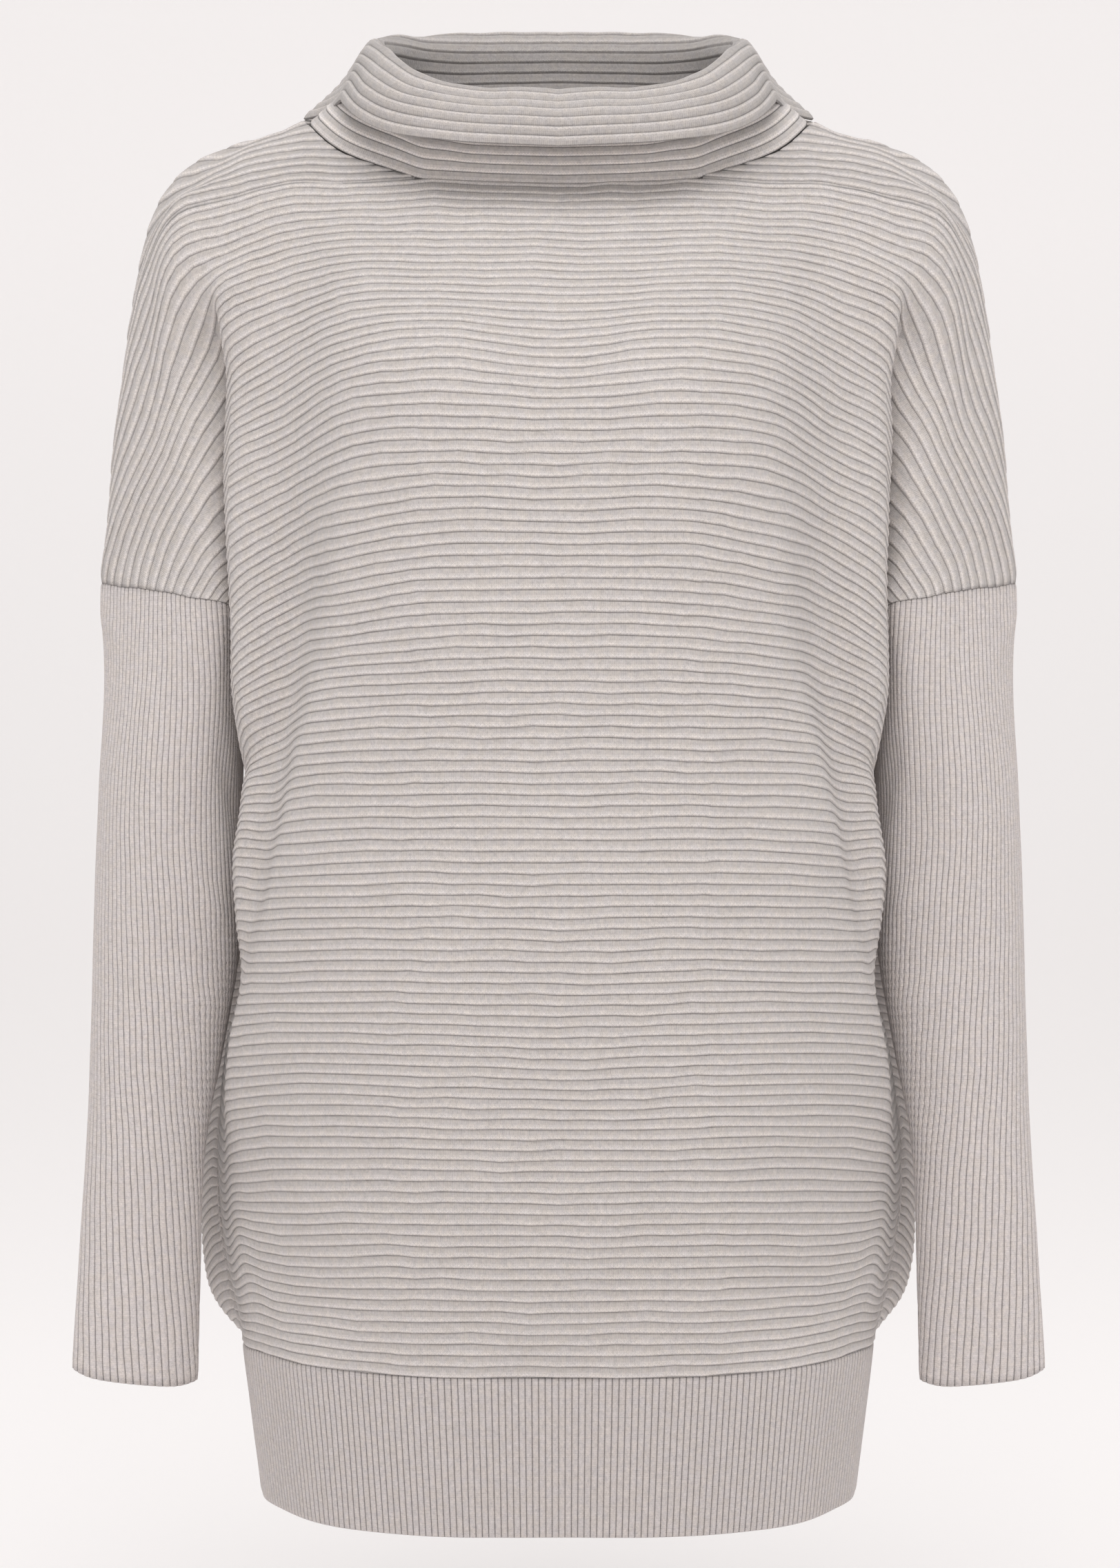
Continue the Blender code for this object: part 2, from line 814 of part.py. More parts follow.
def ring_by_length(points, count):
    """The closed string of points read at equal steps along its length."""
    closed = np.vstack([points, points[:1]])
    steps = np.linalg.norm(np.diff(closed, axis=0), axis=1)
    along = np.concatenate([[0], np.cumsum(steps)])
    wanted = np.linspace(0, along[-1], count, endpoint=False)
    return np.stack([np.interp(wanted, along, closed[:, k]) for k in range(3)], axis=1)


def ring_outward(points):
    """Level directions out of a closed ring of points that runs anticlockwise from above."""
    along = np.roll(points, -1, axis=0) - np.roll(points, 1, axis=0)
    out = np.stack([along[:, 1], -along[:, 0], np.zeros(len(points))], axis=1)
    return out / (np.linalg.norm(out, axis=1)[:, None] + 1e-9)


def fine_ribbed_tube(name, section, levels, ribs, plain_count, collection):
    """A tube of upright fine ribs: section(level, count) gives its ring at each level."""
    cloth = Cloth(name)
    outer = []
    inner = []
    for level in levels:
        ring = section(level, 2 * ribs)
        rise = np.where(np.arange(2 * ribs) % 2 == 1, FINE_RISE, 0.0)[:, None]
        outer.append(cloth.add(list(ring + rise * ring_outward(ring))))
        plain = section(level, plain_count)
        inner.append(cloth.add(list(plain - WALL * ring_outward(plain))))

    def looped(indices):
        count = len(indices)
        return [(k / count, indices[k % count]) for k in range(count + 1)]

    for rings in (outer, inner):
        for low, high in zip(rings, rings[1:]):
            cloth.strip(looped(low), looped(high))
    cloth.strip(looped(outer[0]), looped(inner[0]))
    cloth.strip(looped(outer[-1]), looped(inner[-1]))
    return cloth.build("fine_rib", collection)


def arm_ring():
    """The arm opening as a dense ring, anticlockwise from above, starting at the underarm."""
    ribs = np.linspace(UNDERARM_RIB, ARM_TOP_RIB, SEAM_STEPS)
    front = line_at(ARM_OPENING_FRONT, ribs)
    back = line_at(ARM_OPENING_BACK, ribs)
    return np.vstack([front[:-1], back[::-1][:-1]])


def sleeve_section(side, drop, count):
    """One ring of a sleeve at a share of its drop from seam to cuff."""
    rows = np.asarray(SLEEVE_SECTIONS, float)
    centre_x, centre_y, half_width, half_depth, roundness = cubic(rows[:, 1:], rows[:, 0], [drop])[0]
    roundness = min(max(roundness, 0.0), 1.0)
    top = ring_by_length(arm_ring(), count)
    turn = np.linspace(0, 2 * math.pi, 4 * count, endpoint=False)
    round_ring = np.stack([-half_width * np.cos(turn), -half_depth * np.sin(turn), 0 * turn], axis=1)
    round_ring = ring_by_length(round_ring, count)
    _, top_x, top_y, top_half_width, top_half_depth, _ = SLEEVE_SECTIONS[0]
    seam = (top - (top_x, top_y, 0)) * (1, 1, 0)
    scaled = seam * (half_width / top_half_width, half_depth / top_half_depth, 1)
    ring = scaled * (1 - roundness) + round_ring * roundness
    cuff_z = CUFF_Z + CUFF_TILT * ring[:, 0]
    ring += (centre_x, centre_y, 0)
    under = np.clip((UNDERARM_CLEAR_X - top[:, 0]) / UNDERARM_CLEAR_WIDTH, 0, 1)
    top_z = top[:, 2] - CLEAR_OF_SEAM - UNDERARM_CLEARANCE * under
    ring[:, 2] = top_z * (1 - drop) + cuff_z * drop
    if side < 0:
        ring = ring[::-1] * (-1, 1, 1)
    return ring


def make_sleeve(name, side, collection):
    """A sleeve from the arm opening to its open cuff."""
    return fine_ribbed_tube(
        name,
        lambda level, count: sleeve_section(side, level, count),
        SLEEVE_LEVELS,
        SLEEVE_RIBS,
        SLEEVE_PLAIN_POINTS,
        collection,
    )


def hem_seam_ring():
    """The lower edge of front and back as one ring, anticlockwise from above, from the front middle."""
    shares = np.linspace(0, 1, SEAM_STEPS)
    front = FRONT.points(np.zeros(SEAM_STEPS), shares)
    back = BACK.points(np.zeros(SEAM_STEPS), shares)
    right = np.vstack([front, back[::-1]])
    left = right[::-1][1:-1] * (-1, 1, 1)
    return np.vstack([right, left])


def hem_section(level, count):
    """One ring of the hem band, at a share of its drop from the seam."""
    ring = ring_by_length(hem_seam_ring(), count)
    low, high = ring.min(axis=0), ring.max(axis=0)
    scale_x = 1 + (HEM_HALF_WIDTH / high[0] - 1) * level
    depth = np.where(ring[:, 1] < 0, HEM_FRONT / low[1], HEM_BACK / high[1])
    scale_y = 1 + (depth - 1) * level
    top_z = ring[:, 2] - CLEAR_OF_SEAM
    z = top_z * (1 - level) + HEM_BOTTOM_Z * level
    return np.stack([ring[:, 0] * scale_x, ring[:, 1] * scale_y, z], axis=1)


def neckline_points():
    """The body's neck edge on one side, from the front middle to the back middle."""
    found = []
    for share in (0.0, 0.06, 0.12, 0.17):
        found.append((FRONT, FRONT_NECK_RIB, share))
    for rib in np.linspace(115, TOP_RIB, 12):
        found.append((FRONT, rib, FRONT.start(rib)))
    for rib in np.linspace(TOP_RIB, 121.5, 4):
        found.append((BACK, rib, BACK.start(rib)))
    for share in (0.12, 0.06, 0.0):
        found.append((BACK, BACK_NECK_RIB, share))
    return np.array([panel.points([rib], [share])[0] for panel, rib, share in found])


def smoothed(curve):
    """The half neck curve with its corners eased, mirrored at both ends."""
    for _ in range(BASE_EASING):
        before = np.vstack([curve[1:2] * (-1, 1, 1), curve[:-1]])
        after = np.vstack([curve[1:], curve[-2:-1] * (-1, 1, 1)])
        curve = (before + 2 * curve + after) / 4
    return curve


def collar_paths(stations):
    """The collar's middle line at each station: base, stand, roll, fall and free edge."""
    rim = line_at(COLLAR_RIM, stations)
    fall = line_at(COLLAR_FALL, stations)
    edge = line_at(COLLAR_EDGE, stations)
    neck = neckline_points()
    bearing = np.arctan2(neck[:, 0], -neck[:, 1])
    order = np.argsort(bearing)
    wanted = np.arctan2(rim[:, 0], -rim[:, 1])
    even = np.linspace(0, math.pi, BASE_STEPS + 1)
    curve = np.stack([np.interp(even, bearing[order], neck[order][:, k]) for k in range(3)], axis=1)
    curve = smoothed(curve)
    base = np.stack([np.interp(wanted, even, curve[:, k]) for k in range(3)], axis=1)
    inward = -base * (1, 1, 0)
    inward /= np.linalg.norm(inward, axis=1)[:, None]
    up = np.array((0, 0, 1.0))
    base = base + inward * BASE_INWARD + up * BASE_UP
    roll_in = rim + inward * COLLAR_ROLL - up * COLLAR_ROLL
    roll_out = rim - inward * COLLAR_ROLL - up * COLLAR_ROLL
    stand = (base + roll_in) / 2 + inward * STAND_INWARD
    return np.stack([base, stand, roll_in, rim, roll_out, fall, edge], axis=1)


def collar_face(path, side_offsets):
    """Points of a section beside its middle line: rows of (share along the path, offset)."""
    spans = np.linalg.norm(np.diff(path, axis=0), axis=1)
    along = np.concatenate([[0], np.cumsum(spans)])
    share = np.array([s for s, _ in side_offsets]) * along[-1]
    offset = np.array([o for _, o in side_offsets])[:, None]
    here = cubic(path, along, share)
    ahead = cubic(path, along, np.minimum(share + 0.4, along[-1]))
    behind = cubic(path, along, np.maximum(share - 0.4, 0))
    tangent = ahead - behind
    tangent /= np.linalg.norm(tangent, axis=1)[:, None]
    level = path[3] * (1, 1, 0)
    level = np.cross((0, 0, 1.0), level / np.linalg.norm(level))
    across = np.cross(tangent, level)
    across /= np.linalg.norm(across, axis=1)[:, None]
    return here + across * offset


def collar_section():
    """Offsets round the collar's wall: the ribbed fall and stand outside, and the plain faces between."""
    half = WALL / 2
    outside = []
    for k in range(2 * STAND_RIBS + 1):
        outside.append((STAND_END * k / (2 * STAND_RIBS), half + (RIB_RISE if k % 2 else 0)))
    outside += [(0.44, half), (0.50, half), (0.56, half), (0.72, half), (0.86, half), (1.0, half)]
    inside = [(0.0, half), (0.16, half), (0.34, half), (0.45, half), (0.52, half)]
    for k in range(2 * FALL_RIBS + 1):
        place = FALL_START + (1 - FALL_START) * k / (2 * FALL_RIBS)
        inside.append((place, half + (RIB_RISE if k % 2 else 0)))
    return outside, inside


def make_collar(collection):
    """The roll collar: one strip folded over, closed round the neck."""
    cloth = Cloth("collar")
    outside, inside = collar_section()
    paths = collar_paths(np.array(COLLAR_STATIONS, float))
    columns = []
    for path in paths:
        out_points = collar_face(path, [(s, -o) for s, o in outside])
        in_points = collar_face(path, inside)
        columns.append(np.vstack([out_points, in_points[::-1]]))
    mirrored = [c * (-1, 1, 1) for c in columns[1:-1]]
    ring = columns + mirrored[::-1]
    strings = [cloth.add(list(points)) for points in ring]
    count = len(strings[0])
    for k, string in enumerate(strings):
        following = strings[(k + 1) % len(strings)]
        first = [(i, string[i % count]) for i in range(count + 1)]
        second = [(i, following[i % count]) for i in range(count + 1)]
        cloth.strip(first, second)
    return cloth.build("broad_rib", collection)


def clear_scene():
    for found in list(bpy.data.objects):
        bpy.data.objects.remove(found)


def main():
    clear_scene()
    collection = bpy.data.collections.new(GARMENT)
    bpy.context.scene.collection.children.link(collection)
    make_panel(FRONT, FRONT_COLUMNS, collection)
    make_panel(BACK, BACK_COLUMNS, collection)
    make_sleeve("sleeve_right", 1, collection)
    make_sleeve("sleeve_left", -1, collection)
    fine_ribbed_tube("hem_band", hem_section, (0.0, 1.0), HEM_RIBS, HEM_PLAIN_POINTS, collection)
    make_collar(collection)


main()
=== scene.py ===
"""Dresses the roll neck tunic: ribbed knitted walls, yarn, floor, lights and camera.

Each knitted piece is a thin closed wall on the form of its solid, with rounded ribs and soft folds.
Lengths in the tables are in millimetres: X from side to side, Y from front (minus) to back, Z up.
"""

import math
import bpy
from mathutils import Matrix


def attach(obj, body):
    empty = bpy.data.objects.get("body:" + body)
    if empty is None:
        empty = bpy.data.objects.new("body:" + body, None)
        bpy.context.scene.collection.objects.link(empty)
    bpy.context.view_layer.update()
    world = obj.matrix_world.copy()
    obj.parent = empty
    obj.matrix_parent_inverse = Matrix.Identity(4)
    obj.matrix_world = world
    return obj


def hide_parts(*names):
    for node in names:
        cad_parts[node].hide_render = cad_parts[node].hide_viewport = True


bl_info = {
    "name": "Roll Neck Tunic",
    "version": (1, 0, 0),
    "blender": (4, 5, 0),
    "location": "View3D > Sidebar > Tunic",
    "description": "Knits the pieces of a roll neck tunic and sets its stage",
    "category": "Object",
}

from dataclasses import dataclass

import bmesh
import bpy
import numpy as np
from bpy.props import FloatProperty, FloatVectorProperty, PointerProperty
from bpy.types import Operator, Panel, PropertyGroup
from mathutils import Vector

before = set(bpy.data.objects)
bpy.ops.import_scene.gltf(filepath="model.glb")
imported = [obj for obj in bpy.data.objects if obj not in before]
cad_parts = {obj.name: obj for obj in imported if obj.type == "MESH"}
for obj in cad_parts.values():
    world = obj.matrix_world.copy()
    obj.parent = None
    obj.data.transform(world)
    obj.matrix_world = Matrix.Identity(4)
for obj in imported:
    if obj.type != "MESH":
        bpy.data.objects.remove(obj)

MM = 0.001
BODY = "root"

# Ribs: the broad ones are numbered upward from the hem seam, and a whole number is a groove
UNDERARM_RIB = 85
ARM_TOP_RIB = 107
FRONT_NECK_RIB = 114.5
BACK_NECK_RIB = 121
TOP_RIB = 122.5
RIB_PITCH = 6.1
STITCHES_ACROSS_RIB = 6
SEAM_GAP = 0.1

# One broad rib from its lower groove to the next: share of the pitch, share of the rise
BROAD_PROFILE = (
    (0.0, 0.0), (0.07, 0.66), (0.16, 0.98), (0.32, 1.0), (0.48, 0.74), (0.7, 0.6), (0.92, 0.44),
)
# One fine rib from groove to groove, in the same columns
FINE_PROFILE = (
    (0.0, 0.0), (0.09, 0.6), (0.26, 0.95), (0.5, 1.0), (0.74, 0.95), (0.91, 0.6), (1.0, 0.0),
)

# Soft folds of the front: start x, start z, end x, end z, half width, rise
FRONT_FOLDS = (
    (-58, -403, -86, -640, 15, 1.6), (88, -470, 93, -612, 13, 1.2), (147, -520, 146, -615, 10, 1.4),
    (-135, -520, -133, -612, 11, 1.4), (-107, -520, -102, -600, 12, -1.3),
    (118, -540, 122, -630, 11, -1.0), (-160, -596, -146, -652, 8, 2.0), (158, -590, 145, -650, 8, 1.8),
    (-140, -622, -128, -672, 8, -1.6), (141, -615, 126, -668, 9, -1.5), (-20, -455, -34, -600, 18, -0.9),
    (36, -430, 44, -560, 16, 0.8), (20, -560, 12, -665, 15, 0.9), (-72, -180, -60, -290, 20, -0.8),
    (70, -190, 60, -300, 20, -0.7), (-36, -150, -22, -230, 16, 0.7), (96, -330, 110, -440, 12, -1.0),
    (-98, -340, -112, -450, 12, -1.2), (-108, -170, -121, -305, 9, 1.4), (-119, -282, -152, -412, 9, 1.9),
    (-149, -392, -172, -512, 8, 1.7), (-170, -495, -180, -578, 8, 1.3), (109, -165, 122, -302, 9, 1.3),
    (120, -285, 151, -405, 9, 1.8), (149, -395, 171, -505, 8, 1.5), (170, -492, 179, -570, 8, 1.2),
    (-174, -128, -174, -276, 7, 1.2), (-173, -262, -164, -346, 6, 2.1), (-165, -336, -171, -432, 7, 1.3),
    (-171, -416, -164, -462, 6, 1.1), (175, -132, 174, -272, 7, 1.1), (173, -266, 165, -350, 6, 1.9),
    (166, -338, 171, -428, 7, 1.2), (171, -414, 164, -466, 6, 1.0), (-141, -240, -156, -372, 9, -1.8),
    (141, -236, 155, -366, 9, -1.7),
)
# Soft folds of the back, in the same columns
BACK_FOLDS = (
    (-52, -300, -84, -610, 18, 1.6), (60, -320, 86, -600, 17, 1.5), (-18, -380, -10, -640, 16, -1.3),
    (26, -420, 34, -655, 15, 1.1), (-120, -500, -112, -650, 12, -1.5), (122, -490, 116, -640, 12, -1.4),
    (-146, -560, -134, -668, 10, 1.9), (147, -570, 132, -664, 10, 1.7), (-90, -110, -70, -260, 22, -1.0),
    (92, -120, 74, -270, 22, -0.9), (0, -90, 4, -210, 20, 0.7), (-104, -300, -118, -430, 13, 1.2),
    (106, -310, 117, -440, 13, 1.1),
)
# Folds round a sleeve: start and end turn in degrees from the outer line over the front,
# start and end drop, half width, rise
SLEEVE_FOLDS = (
    (60, 95, 0.10, 0.33, 9, 1.2), (125, 165, 0.16, 0.30, 8, -1.6), (100, 150, 0.34, 0.40, 7, 1.5),
    (60, 140, 0.43, 0.47, 8, -1.3), (95, 170, 0.49, 0.51, 7, 1.4), (40, 85, 0.52, 0.62, 9, 0.9),
    (110, 150, 0.60, 0.66, 7, -0.9), (210, 260, 0.20, 0.34, 9, 1.2), (200, 280, 0.38, 0.42, 8, -1.4),
    (190, 270, 0.46, 0.50, 8, 1.4), (280, 310, 0.55, 0.70, 9, 0.8), (350, 400, 0.02, 0.08, 7, 1.0),
)

# Fold lines of the front, from the middle to the side: share of the half width
FRONT_SHARES = (0.0, 0.17, 0.30, 0.42, 0.52, 0.62, 0.76, 1.0)
# Columns: rib, x, y, z
FRONT_CENTRE = (
    (0, 0, -122, -679), (10, 0, -135, -617), (20, 0, -145, -557), (30, 0, -152, -501),
    (40, 0, -156, -443), (60, 0, -157, -324), (70, 0, -156, -264), (80, 0, -153, -205),
    (87, 0, -148, -164), (94, 0, -134, -127), (100, 0, -117, -100), (107, 0, -94, -71),
    (114.5, 0, -70, -41), (118, 0, -58, -28), (123, 0, -42, -8),
)
FRONT_BUST = (
    (0, 87, -116, -679), (20, 84, -138, -557), (40, 78, -148, -443), (60, 75, -151, -325),
    (70, 74, -153, -266), (77, 73, -154, -223), (85, 72, -153, -174), (90, 72, -149, -143),
    (94, 72, -139, -121), (99, 72, -122, -101), (104, 73, -104, -82), (109, 73, -84, -62),
    (114.5, 77, -62, -39), (118, 78, -50, -26), (123, 79, -36, -6),
)
FRONT_CREST = (
    (0, 139, -88, -679), (10, 161, -60, -628), (19, 172, -50, -580), (24, 174, -54, -550),
    (30, 171, -66, -513), (39, 160, -84, -459), (48, 150, -99, -405), (58, 134, -115, -343),
    (68, 118, -126, -285), (77, 112, -130, -232), (85, 108, -131, -178), (90, 108, -127, -148),
    (94, 108, -120, -127), (99, 109, -105, -104), (104, 109, -90, -83), (109, 110, -73, -63),
    (114, 110, -56, -43), (118.5, 115, -42, -25), (123, 117, -24, -5),
)
FRONT_HOLLOW = (
    (0, 161, -55, -680), (10, 174, -40, -628), (20, 182, -30, -580), (30, 180, -45, -518),
    (39.5, 168, -60, -460), (48, 161, -66, -411), (58, 152, -72, -357), (71, 141, -80, -278),
    (77, 142, -81, -244), (85, 146, -82, -199), (90, 147, -80, -170), (94, 147, -78, -147),
    (99, 148, -72, -119), (104, 148, -64, -91), (109, 148, -55, -67), (114, 147, -44, -44),
    (118.5, 144, -28, -25), (122.5, 140, -1.8, -7),
)
FRONT_WING = (
    (0, 173, -28, -682), (20, 187, -16, -587), (30, 180, -32, -522), (38, 172, -46, -468),
    (43, 175, -51, -440), (48, 176, -54, -411), (57, 169, -58, -367), (62, 167, -61, -345),
    (64, 170, -63, -334), (69, 175, -64, -311), (77, 176, -64, -269), (87, 176, -61, -204),
    (94, 176, -57, -165), (99, 177, -56, -137), (102, 181, -56, -119), (107, 183, -56, -91),
    (109, 181, -52, -79), (112, 178, -46, -61.5), (114, 175, -41, -51), (118, 168, -26, -31.5),
    (120, 161, -15, -22), (122.5, 150, -1.8, -12),
)
FRONT_TUCK = (
    (0, 175, -14, -683), (20, 190, -6, -580), (30, 183, -16, -518), (40, 171, -24, -468),
    (50, 168, -26, -431), (60, 166, -27, -390), (70, 164, -26, -345), (77, 163, -24, -308),
    (82, 164, -20, -283), (85, 165, -17, -271), (90, 166, -18, -262), (92, 166, -19, -257),
    (94, 167, -19, -246), (97, 168, -21, -211), (100, 172, -28, -169), (104, 181, -43, -119),
    (107, 192, -48, -101), (109, 197, -47, -86), (112, 203, -42, -69), (114, 205, -36, -60),
    (116, 205, -30, -49), (118, 191, -25, -39), (120, 178, -14, -27), (122.5, 158, -1.6, -14.5),
)
FRONT_ARM = (
    (0, 176, -6, -684), (20, 190, -2, -577), (40, 172, -10, -470), (60, 168, -12, -394),
    (77, 166, -12, -312), (82, 168, -11, -288), (85, 170, -10, -276), (88, 172, -21, -272),
    (90, 174, -32, -269), (92, 178, -42, -264), (94, 183, -46, -255), (97, 188, -46.5, -234),
    (100, 193, -46, -201), (104, 207, -42, -177), (107, 219, -36, -170), (109, 223, -32, -152),
    (112, 224, -27, -113), (114, 224, -22, -91), (116, 219, -18, -67), (118, 208, -19, -50),
    (120, 191, -12, -32), (122.5, 165, -1.2, -16.8),
)

# Fold lines of the back
BACK_SHARES = (0.0, 0.18, 0.34, 0.50, 0.62, 0.76, 1.0)
BACK_CENTRE = (
    (0, 0, 102, -688), (10, 0, 108, -628), (20, 0, 111, -569), (30, 0, 108, -512), (40, 0, 100, -457),
    (50, 0, 91, -401), (60, 0, 87, -345), (70, 0, 87, -290), (80, 0, 91, -234), (90, 0, 94, -179),
    (100, 0, 93, -123), (110, 0, 83, -67), (121, 0, 62, -6), (123, 0, 58, 5),
)
BACK_BLADE = (
    (0, 87, 95, -688), (10, 91, 101, -629), (20, 93, 104, -570), (30, 90, 100, -514), (40, 86, 91, -459),
    (50, 82, 83, -404), (60, 80, 80, -349), (70, 78, 83, -296), (80, 78, 89, -241), (90, 78, 93, -184),
    (100, 78, 90, -127), (110, 78, 77, -70), (121, 84, 52, -9), (123, 85, 48, 0),
)
BACK_SIDE = (
    (0, 146, 69, -689), (5, 160, 73, -667), (10, 166, 74, -638), (20, 168, 72, -576), (30, 161, 68, -520),
    (40, 149, 64, -468), (50, 140, 62, -417), (60, 134, 64, -367), (70, 133, 70, -318),
    (80, 134, 76, -265), (90, 137, 77, -203), (100, 140, 70, -140), (110, 141, 55, -76),
    (118, 138, 31, -24), (122.5, 139, 1.8, -7),
)
BACK_WING = (
    (0, 176, 33, -689), (3, 187, 36, -678), (6, 195, 37, -666), (10, 199.5, 36, -649),
    (15, 201.5, 35, -619), (20, 200.5, 35, -589), (25, 197, 34, -558), (30, 192, 34, -527),
    (40, 184, 34, -477), (50, 179, 36, -433), (60, 175, 41, -390), (70, 173, 48, -345),
    (77, 173, 54, -304), (87, 175, 58, -226), (94, 177, 56, -174), (102, 181, 54, -122),
    (109, 181, 47, -80), (114, 175, 38, -52), (118, 168, 26, -31.5), (122.5, 151, 1.8, -12),
)
BACK_TUCK = (
    (0, 176, 14, -686.4), (5, 187, 15, -659), (10, 193, 15, -634), (20, 193, 14, -578),
    (30, 184, 14, -521), (40, 173, 14, -474), (50, 169, 15, -434), (60, 166, 17, -392),
    (70, 164, 18, -347), (77, 163, 18, -310), (82, 164, 15, -285), (85, 165, 12, -272),
    (90, 166, 14, -262), (92, 166, 16, -257), (94, 167, 17, -246), (97, 169, 20, -211),
    (100, 173, 27, -169), (104, 182, 40, -120), (107, 192, 44, -101), (109, 197, 43, -86),
    (112, 203, 38, -69), (114, 205, 33, -60), (116, 205, 27, -49), (118, 191, 22, -39),
    (120, 178, 12, -27), (122.5, 159, 1.6, -14.7),
)
BACK_ARM = (
    (0, 176, 6, -685.3), (10, 188, 6, -629), (20, 190, 4, -577), (40, 172, 5, -471), (60, 168, 5, -394),
    (77, 166, 3, -314), (82, 168, 2, -289), (85, 170, 1, -276), (88, 172, 13, -272), (90, 174, 26, -269),
    (92, 178, 37, -264), (94, 183, 42, -255), (97, 188, 43, -234), (100, 193, 42.5, -201),
    (104, 207, 38.5, -177), (107, 219, 33, -170), (109, 223, 29, -152), (112, 224, 24, -113),
    (114, 224, 20, -91), (116, 219, 16, -67), (118, 208, 17, -50), (120, 191, 11, -32),
    (122.5, 166, 1.2, -17),
)

# The seam that both panels share: side seam up to the underarm, then over the shoulder
SIDE_SEAM = (
    (0, 176, 0, -684.5), (4, 182, 0, -662), (8, 186.5, 0, -638), (19, 190, 0, -575), (30, 183, 0, -518),
    (40, 173, 0, -472), (50, 169, -1, -433), (60, 168, -2, -394), (70, 167, -3, -352),
    (77, 167, -4, -317), (82, 169, -4, -294), (85, 172, -4, -281),
)
SHOULDER_SEAM = (
    (107, 252, -4, -259), (108, 250, -3, -245), (110, 247, -2, -215), (112, 245, -1, -189),
    (113, 243, 0, -175), (114, 240, 0, -153), (115, 237, 0, -128), (116, 234, 0, -109),
    (117, 230.5, 0, -89), (118, 226, 0, -69.5), (119, 220, 0, -53), (120, 211.5, 0, -40),
    (121, 199, 0, -29), (122, 182, 0, -21.2), (122.5, 171.5, 0, -17.5),
)
# The arm opening, from the underarm to the outer side: rib, x, y round the front, y round the back, z
ARM_OPENING = (
    (85, 175, -4, -4, -281), (86, 176, -10, 2, -280), (88, 176, -22, 16, -276), (90, 177, -35, 30, -272),
    (92, 181, -46, 41, -267), (94, 190, -48.5, 44, -265), (96, 200, -46, 41.5, -264),
    (98, 210, -41, 37, -262), (100, 220, -35, 31, -261), (102, 230, -28, 23.5, -260),
    (104, 239.5, -20, 14.5, -260), (106, 248.5, -10, 3, -259), (107, 252, -4, -4, -259),
)
ARM_OPENING_FRONT = [row[:3] + row[4:] for row in ARM_OPENING]
ARM_OPENING_BACK = [row[:2] + row[3:] for row in ARM_OPENING]
ARM_OPENING_STEPS = 160
# Way in which a rib leaves each panel's edge, y away from the panel: rib, x, y, z
EDGE_LEAVING = (
    (0, 0, 1, 0), (78, 0, 1, 0), (84, 0.3, 0.8, 0), (87, 0, 0.1, -1), (105, 0, 0, -1),
    (107, 0, 0.4, -0.9), (110, 0.05, 0.55, -0.8), (116, 0.15, 0.7, -0.65), (118, 0.25, 0.7, -0.55),
    (120, 0.4, 0.7, -0.5), (122.5, 0.7, 0.5, -0.3),
)
LEAVING_REACH = 25.0
# Steps along the ribs and across them over which the cloth's direction is read
NEAR_RIBS = 0.3
NEAR_SHARE = 0.012
# Below the underarm the seam's outward side turns to look down over these ribs
TURN_RIB = 80.0
TURN_RIBS = 4.0
UNDER_RIBS = 3.0
ARM_CENTRE = (213.0, -3.0)

# Where each panel starts above its full ribs: rib, share of the half width
FRONT_NECKLINE = ((115.0, 0.17), (118.5, 0.30), (122.5, 0.42))
BACK_NECKLINE = ((121.5, 0.18), (122.5, 0.34))

# Collar, from the front middle round the side to the back middle: station, x, y, z
COLLAR_RIM = (
    (0, 0, -86, 7.5), (1, 48, -84, 10), (2, 77, -75, 18), (2.6, 89, -58, 26), (3.2, 97.5, -33, 34),
    (3.8, 101, -9, 36), (4.1, 101.5, 4, 36.6), (4.4, 100, 16, 37.4), (4.8, 96, 30, 39),
    (5.3, 84, 47, 40.5), (6, 54, 67, 42.3), (7, 0, 75, 43),
)
COLLAR_FALL = (
    (0, 0, -97, -4), (1, 56, -92, -1), (2, 90, -77, 5), (2.6, 102, -62, 10), (3.2, 109, -43, 15),
    (3.8, 112.5, -18, 17), (4.1, 114.5, -3, 16), (4.4, 118, 11, 14), (4.8, 114, 28, 17),
    (5.3, 100, 48, 21), (6, 61, 76, 23), (7, 0, 85, 24),
)
COLLAR_EDGE = (
    (0, 0, -100, -21), (1, 58, -96, -18), (2, 94, -76, -12), (2.6, 108, -62, -5), (3.2, 116, -45, 2),
    (3.8, 119.5, -20, 3.5), (4.1, 126, -4, -1.5), (4.4, 139, 9, -5), (4.8, 131, 27, -4),
    (5.3, 111, 50, 0), (6, 64, 80, 3), (7, 0, 88, 4),
)
COLLAR_ROLL = 4.5
# The neck curve is read in this many steps and eased this often; the stand rises a little inside it
BASE_STEPS = 90
BASE_EASING = 4
BASE_INWARD = 0.9
STAND_INWARD = 1.5
# Ribs from the neck over the roll to the free edge, and those of the stand
COLLAR_RIBS = 17
STAND_RIBS = 5
COLLAR_STATIONS = 106

# Sleeve sections below the seam: drop, centre x, centre y, half width, half depth, share of round form
SLEEVE_SECTIONS = (
    (0, 215, -5, 39, 46.5, 0), (0.12, 213, -7, 38, 43, 0.5), (0.24, 214.5, -9.5, 38.8, 39, 0.85),
    (0.42, 216.5, -14, 39.5, 34, 1), (0.55, 222, -18, 36, 30, 1), (0.68, 228, -22, 32, 26, 1),
    (0.85, 232.5, -26, 33, 20, 1), (1, 235.5, -29, 34, 14, 1),
)
SLEEVE_LENGTH = 430.0
CUFF_Z = -700.5
CUFF_TILT = 0.1
CUFF_CORNER = 3.0
# Width of a fine rib down the sleeve: drop, pitch
SLEEVE_PITCH = ((0.0, 2.95), (0.3, 3.1), (0.6, 3.4), (0.8, 3.8), (1.0, 4.15))
